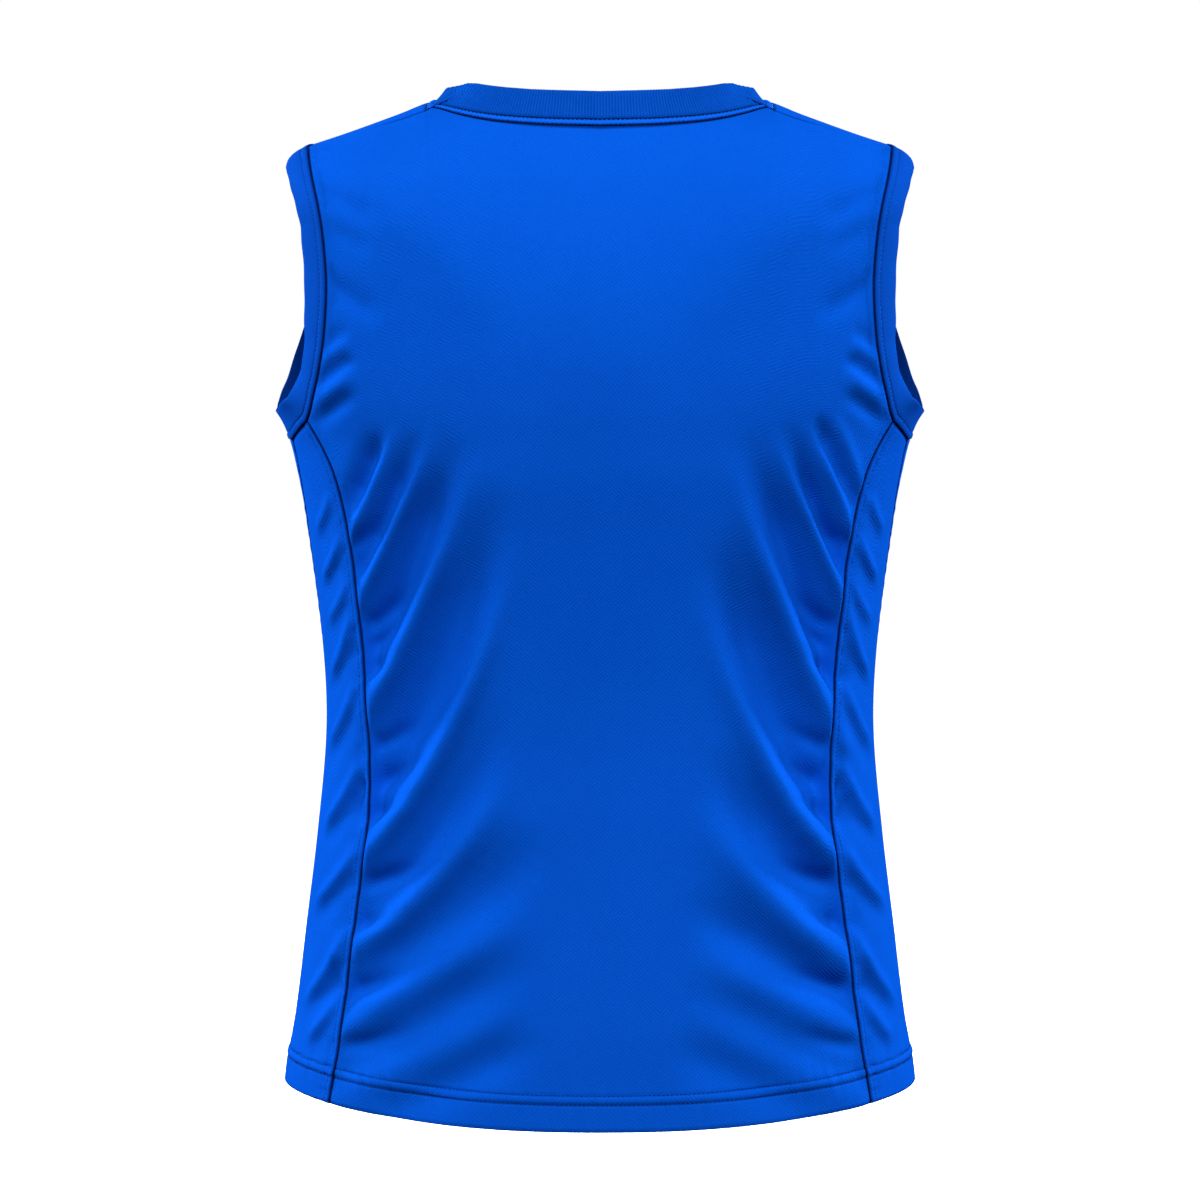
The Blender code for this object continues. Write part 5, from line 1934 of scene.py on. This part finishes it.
JERSEY_KNIT = Finish("jersey_knit", Texture.STROKES, (0.0018, 0.082, 0.560), (0.0010, 0.062, 0.450))
SIDE_KNIT = Finish("side_knit", Texture.STROKES, (0.0016, 0.074, 0.520), (0.0010, 0.056, 0.420))
BAND_KNIT = Finish("band_knit", Texture.STROKES, (0.0022, 0.060, 0.410), (0.0012, 0.044, 0.330),
                   relief=0.00009)
TAPE_KNIT = Finish("tape_knit", Texture.STROKES, (0.0035, 0.100, 0.640), (0.0018, 0.078, 0.520),
                   contrast=0.2)
COLLAR_RIB = Finish("collar_rib", Texture.LOOPS, (0.0020, 0.070, 0.440), (0.0010, 0.044, 0.320),
                    contrast=0.3, pitch=0.0011, relief=0.00012, roughness=0.6)
# dark navy: painted shade of the sunken stitches and their needle holes; the thread itself is the
# cloth's blue
THREAD = Finish("thread_in_painted_shade", Texture.THREAD, (0.0004, 0.016, 0.130), (0.0002, 0.008, 0.070),
                roughness=0.45, specular=0.1)
LIGHT_THREAD = Finish("light_thread", Texture.THREAD, (0.0040, 0.130, 0.740),
                      (0.0020, 0.090, 0.600), roughness=0.4)


# ---- studio

@dataclass(frozen=True)
class SoftLight:
    """A rectangular area light.

    Attributes:
        name: its name.
        place: where it hangs.
        target: where it points.
        size: width and height.
        power: in watts.
    """

    name: str
    place: Three
    target: Three
    size: Two
    power: float

    def build(self) -> None:
        """Hang the light and turn it to its target."""
        data = bpy.data.lights.new(self.name, "AREA")
        data.shape = "RECTANGLE"
        data.size, data.size_y = self.size
        data.energy = self.power
        aim(put_in_scene(self.name, data), self.place, self.target)


def aim(thing: Thing, place: Three,
        target: Three) -> None:
    """Put a light or camera in its place, its -Z towards the target and its +Y up.

    Args:
        thing: the light or camera.
        place: where it goes.
        target: the point that it faces.
    """
    way = Vector(target) - Vector(place)
    thing.location = place
    thing.rotation_euler = way.to_track_quat("-Z", "Y").to_euler()


@dataclass(frozen=True)
class Studio:
    """A pale floor, soft lights and the camera at the photograph's angle.

    Attributes:
        lights: the area lights.
        floor_height: height of the floor.
        floor_size: its side.
        floor_colours: the two that it wavers between.
        ambient: strength of the even light from above; it fades to nothing below.
        sky: between what heights of a unit direction it does.
        camera_place: where the camera stands.
        camera_target: the point in the middle of its frame.
        lens: focal length in mm.
        sensor: width of the camera's sensor in mm.
    """

    lights: tuple[SoftLight, ...] = (
        SoftLight("key", (0.0, 3.60, 3.16), (0.0, 0.0, -0.3), (2.5, 0.9), 376.0),
        SoftLight("low", (0.0, 2.0, -0.70), (0.0, 0.0, -0.55), (1.6, 0.5), 0.4),
        SoftLight("left", (1.85, 0.1, -0.30), (0.0, 0.0, -0.40), (0.5, 0.8), 11.0),
        SoftLight("right", (-1.85, 0.1, -0.30), (0.0, 0.0, -0.40), (0.5, 0.8), 11.0),
        SoftLight("left rim", (1.80, -0.65, -0.05), (0.0, 0.0, -0.40), (0.4, 0.6), 48.0),
        SoftLight("right rim", (-1.80, -0.65, -0.05), (0.0, 0.0, -0.40), (0.4, 0.6), 42.0),
        SoftLight("front", (0.0, -2.6, 1.0), (0.0, 0.0, -0.3), (1.4, 0.6), 80.0),
    )
    floor_height: float = -0.95
    floor_size: float = 24.0
    floor_colours: tuple = ((0.92, 0.92, 0.92, 1.0), (0.95, 0.95, 0.95, 1.0))
    ambient: float = 0.063
    sky: Two = (-0.3, 0.7)
    camera_place: Three = (0.0, 2.8, -0.1442)
    camera_target: Three = (0.0, 0.0, -0.32736)
    lens: float = 127.54
    sensor: float = 36.0

    def build(self) -> None:
        """Set up floor, world, lights and camera."""
        half = self.floor_size / 2
        corners = [(-half, -half), (half, -half), (half, half), (-half, half)]
        mesh = bpy.data.meshes.new("floor")
        mesh.from_pydata([(*corner, self.floor_height) for corner in corners], [], [(0, 1, 2, 3)])
        floor = put_in_scene("floor", mesh)
        mesh.materials.append(self.floor_material())
        floor.visible_diffuse = False
        self.build_world()
        for light in self.lights:
            light.build()
        data = bpy.data.cameras.new("camera")
        data.lens, data.sensor_width = self.lens, self.sensor
        camera = put_in_scene("camera", data)
        aim(camera, self.camera_place, self.camera_target)
        bpy.context.scene.camera = camera
        bpy.context.scene.view_settings.view_transform = "Standard"

    def floor_material(self) -> bpy.types.Material:
        """A pale matt floor that the camera sees a little brighter, so that it has no horizon.

        Returns:
            The material.
        """
        material = bpy.data.materials.new("floor")
        material.use_nodes = True
        sheet = NodeSheet(material.node_tree)
        place = sheet.add("ShaderNodeTexCoord").outputs["Object"]
        colour = sheet.mix(sheet.noise(place, scale=3.0), *self.floor_colours)
        seen = sheet.add("ShaderNodeLightPath").outputs["Is Camera Ray"]
        shader = sheet.add("ShaderNodeBsdfPrincipled", {
            "Base Color": colour, "Roughness": 0.9, "Emission Color": (1, 1, 1, 1),
            "Emission Strength": seen})
        sheet.add("ShaderNodeOutputMaterial", {"Surface": shader.outputs[0]})
        return material

    def build_world(self) -> None:
        """White behind everything, and dimmer as a light."""
        world = bpy.data.worlds.new("studio")
        bpy.context.scene.world = world
        world.use_nodes = True
        sheet = NodeSheet(world.node_tree)
        seen = sheet.add("ShaderNodeLightPath").outputs["Is Camera Ray"]
        way = sheet.add("ShaderNodeTexCoord").outputs["Generated"]
        upward = sheet.add("ShaderNodeSeparateXYZ", {0: way}).outputs[2]
        sky = sheet.calc("MULTIPLY", sheet.between(upward, *self.sky), self.ambient)
        strength = sheet.calc("MAXIMUM", seen, sky)
        back = sheet.add("ShaderNodeBackground", {"Color": (1, 1, 1, 1), "Strength": strength})
        sheet.add("ShaderNodeOutputWorld", {"Surface": back.outputs[0]})


# ---- the jersey

@dataclass(frozen=True)
class SewnPiece:
    """A finished piece and what is noted of it.

    Attributes:
        piece: the object.
        finish: its fabric.
        node: the solid that it stands for, or nothing for stitches.
        slot: the record's material slot; not used.
        flat: width and length of the cut, or nothing for stitches; not used.
        area: flat area of the cut; not used.
        joined: names of the pieces that it hangs from; not used.
    """

    piece: Thing
    finish: Finish
    slot: str
    node: str | None = None
    flat: Two | None = None
    area: float | None = None
    joined: tuple[str, ...] = ()


class Jersey:
    """The whole jersey: its cloth, its cut and every piece sewn from them."""

    def __init__(self) -> None:
        """Lay out the cloth, the cutting lines and the pieces."""
        form = TorsoForm()
        cut = JerseyCut(form)
        cloth = FoldedCloth(form, cut.back_side_seam + cut.back_armhole[1:])
        self.pattern = Pattern(cloth, cut, RowPlan(), Sewing())
        self.stitching = Stitching()
        self.effects = FabricEffects()
        self.back = BodyPanel(Facing.BACK, middle=90.0, neck_columns=46, neck_share=0.62,
                              hem_half=0.0720, step=0.0020, flat=(0.40, 0.66), area=0.244)
        self.front = BodyPanel(Facing.FRONT, middle=270.0, neck_columns=72, neck_share=0.84,
                               hem_half=0.0420, step=0.0031, flat=(0.56, 0.70), area=0.30)
        self.sides = tuple(SidePanel(hand, flat=(0.10, 0.45), area=0.0345) for hand in Hand)
        self.bands = tuple(ArmholeBand(hand, flat=(0.021, 0.53), area=0.0111) for hand in Hand)
        self.neck = NeckTrim(tape_flat=(0.010, 0.67), tape_area=0.0047,
                             collar_flat=(0.0225, 0.64), collar_area=0.0144)

    def stitches(self, name: str, lines: list[Couple], finish: Finish, slot: str,
                 closed: bool = False) -> SewnPiece:
        """The stitches of some needle lines, with their thread and their cloth's slot."""
        return SewnPiece(self.stitching.build(f"{name}_stitches", lines, closed), finish, slot)

    def build_panels(self) -> list[SewnPiece]:
        """Build the back, the front and the sides, with their needle lines' stitches.

        Returns:
            The pieces.
        """
        made = []
        sewing = self.pattern.sewing
        for panel, joined in ((self.back, ("front_panel",)), (self.front, ())):
            built = panel.build(self.pattern)
            name = panel.facing.value
            hem = [built.line_at(built.up, at, 0) for at in sewing.hem_lines]
            made += [SewnPiece(built.piece, JERSEY_KNIT, "jersey_knit", name, panel.flat,
                               panel.area, joined),
                     self.stitches(name, hem, THREAD, "jersey_knit")]
        for panel in self.sides:
            built = panel.build(self.pattern)
            name = f"side_{panel.hand.label}"
            hem = [built.line_at(built.up, at, 0) for at in sewing.hem_lines]
            felled = [built.line_at(built.from_edge, sewing.felled_line, 1)]
            made += [SewnPiece(built.piece, SIDE_KNIT, "side_knit", name, panel.flat, panel.area,
                               ("back_panel", "front_panel")),
                     self.stitches(f"{name}_hem", hem, THREAD, "side_knit"),
                     self.stitches(f"{name}_seam", felled, LIGHT_THREAD, "side_knit")]
        return made

    def build_trims(self) -> list[SewnPiece]:
        """Build the bands, the tape and the collar, with their stitches.

        Returns:
            The pieces.
        """
        made = []
        panels = ("back_panel", "front_panel")
        for band, side in zip(self.bands, self.sides):
            built = band.build(self.pattern, side)
            name = f"band_{band.hand.label}"
            made += [SewnPiece(built.piece, BAND_KNIT, "band_knit", f"armhole_{name}", band.flat,
                               band.area, panels),
                     self.stitches(name, built.lines, LIGHT_THREAD, "band_knit", True)]
        neck, path = self.neck, self.neck.neck_path(self.pattern)
        tape = neck.build_tape(path, self.pattern.sewing)
        made.append(SewnPiece(tape.piece, TAPE_KNIT, "tape_knit", "neck_tape", neck.tape_flat,
                              neck.tape_area, panels))
        made += [self.stitches(f"tape_{place}", [line], finish, "tape_knit", True)
                 for place, line, finish in zip(("lower", "upper"), tape.lines,
                                                (THREAD, LIGHT_THREAD))]
        collar = neck.build_collar(path, self.pattern.sewing)
        made.append(SewnPiece(collar, COLLAR_RIB, "collar_rib", "collar", neck.collar_flat,
                              neck.collar_area, ("neck_tape_cloth",)))
        return made

    def dress(self, pieces: list[SewnPiece]) -> None:
        """Give every piece its material, hang it from the root body and hide the solid that it
        stands for.

        Args:
            pieces: the finished pieces.
        """
        materials = {}
        for sewn in pieces:
            if sewn.finish.name not in materials:
                materials[sewn.finish.name] = sewn.finish.material(self.effects)
            sewn.piece.data.materials.append(materials[sewn.finish.name])
            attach(sewn.piece, "root")
            if sewn.node:
                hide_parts(sewn.node)
            faces = len(sewn.piece.data.polygons)
            log.info("%s: %s, %d faces", sewn.piece.name, sewn.finish.name, faces)


def main() -> None:
    """Build the studio and the jersey, in order, and report each piece."""
    logging.basicConfig(level=logging.INFO, format="%(name)s: %(message)s")
    Studio().build()
    jersey = Jersey()
    pieces = jersey.build_panels() + jersey.build_trims()
    jersey.dress(pieces)


if __name__ == "__main__":
    main()
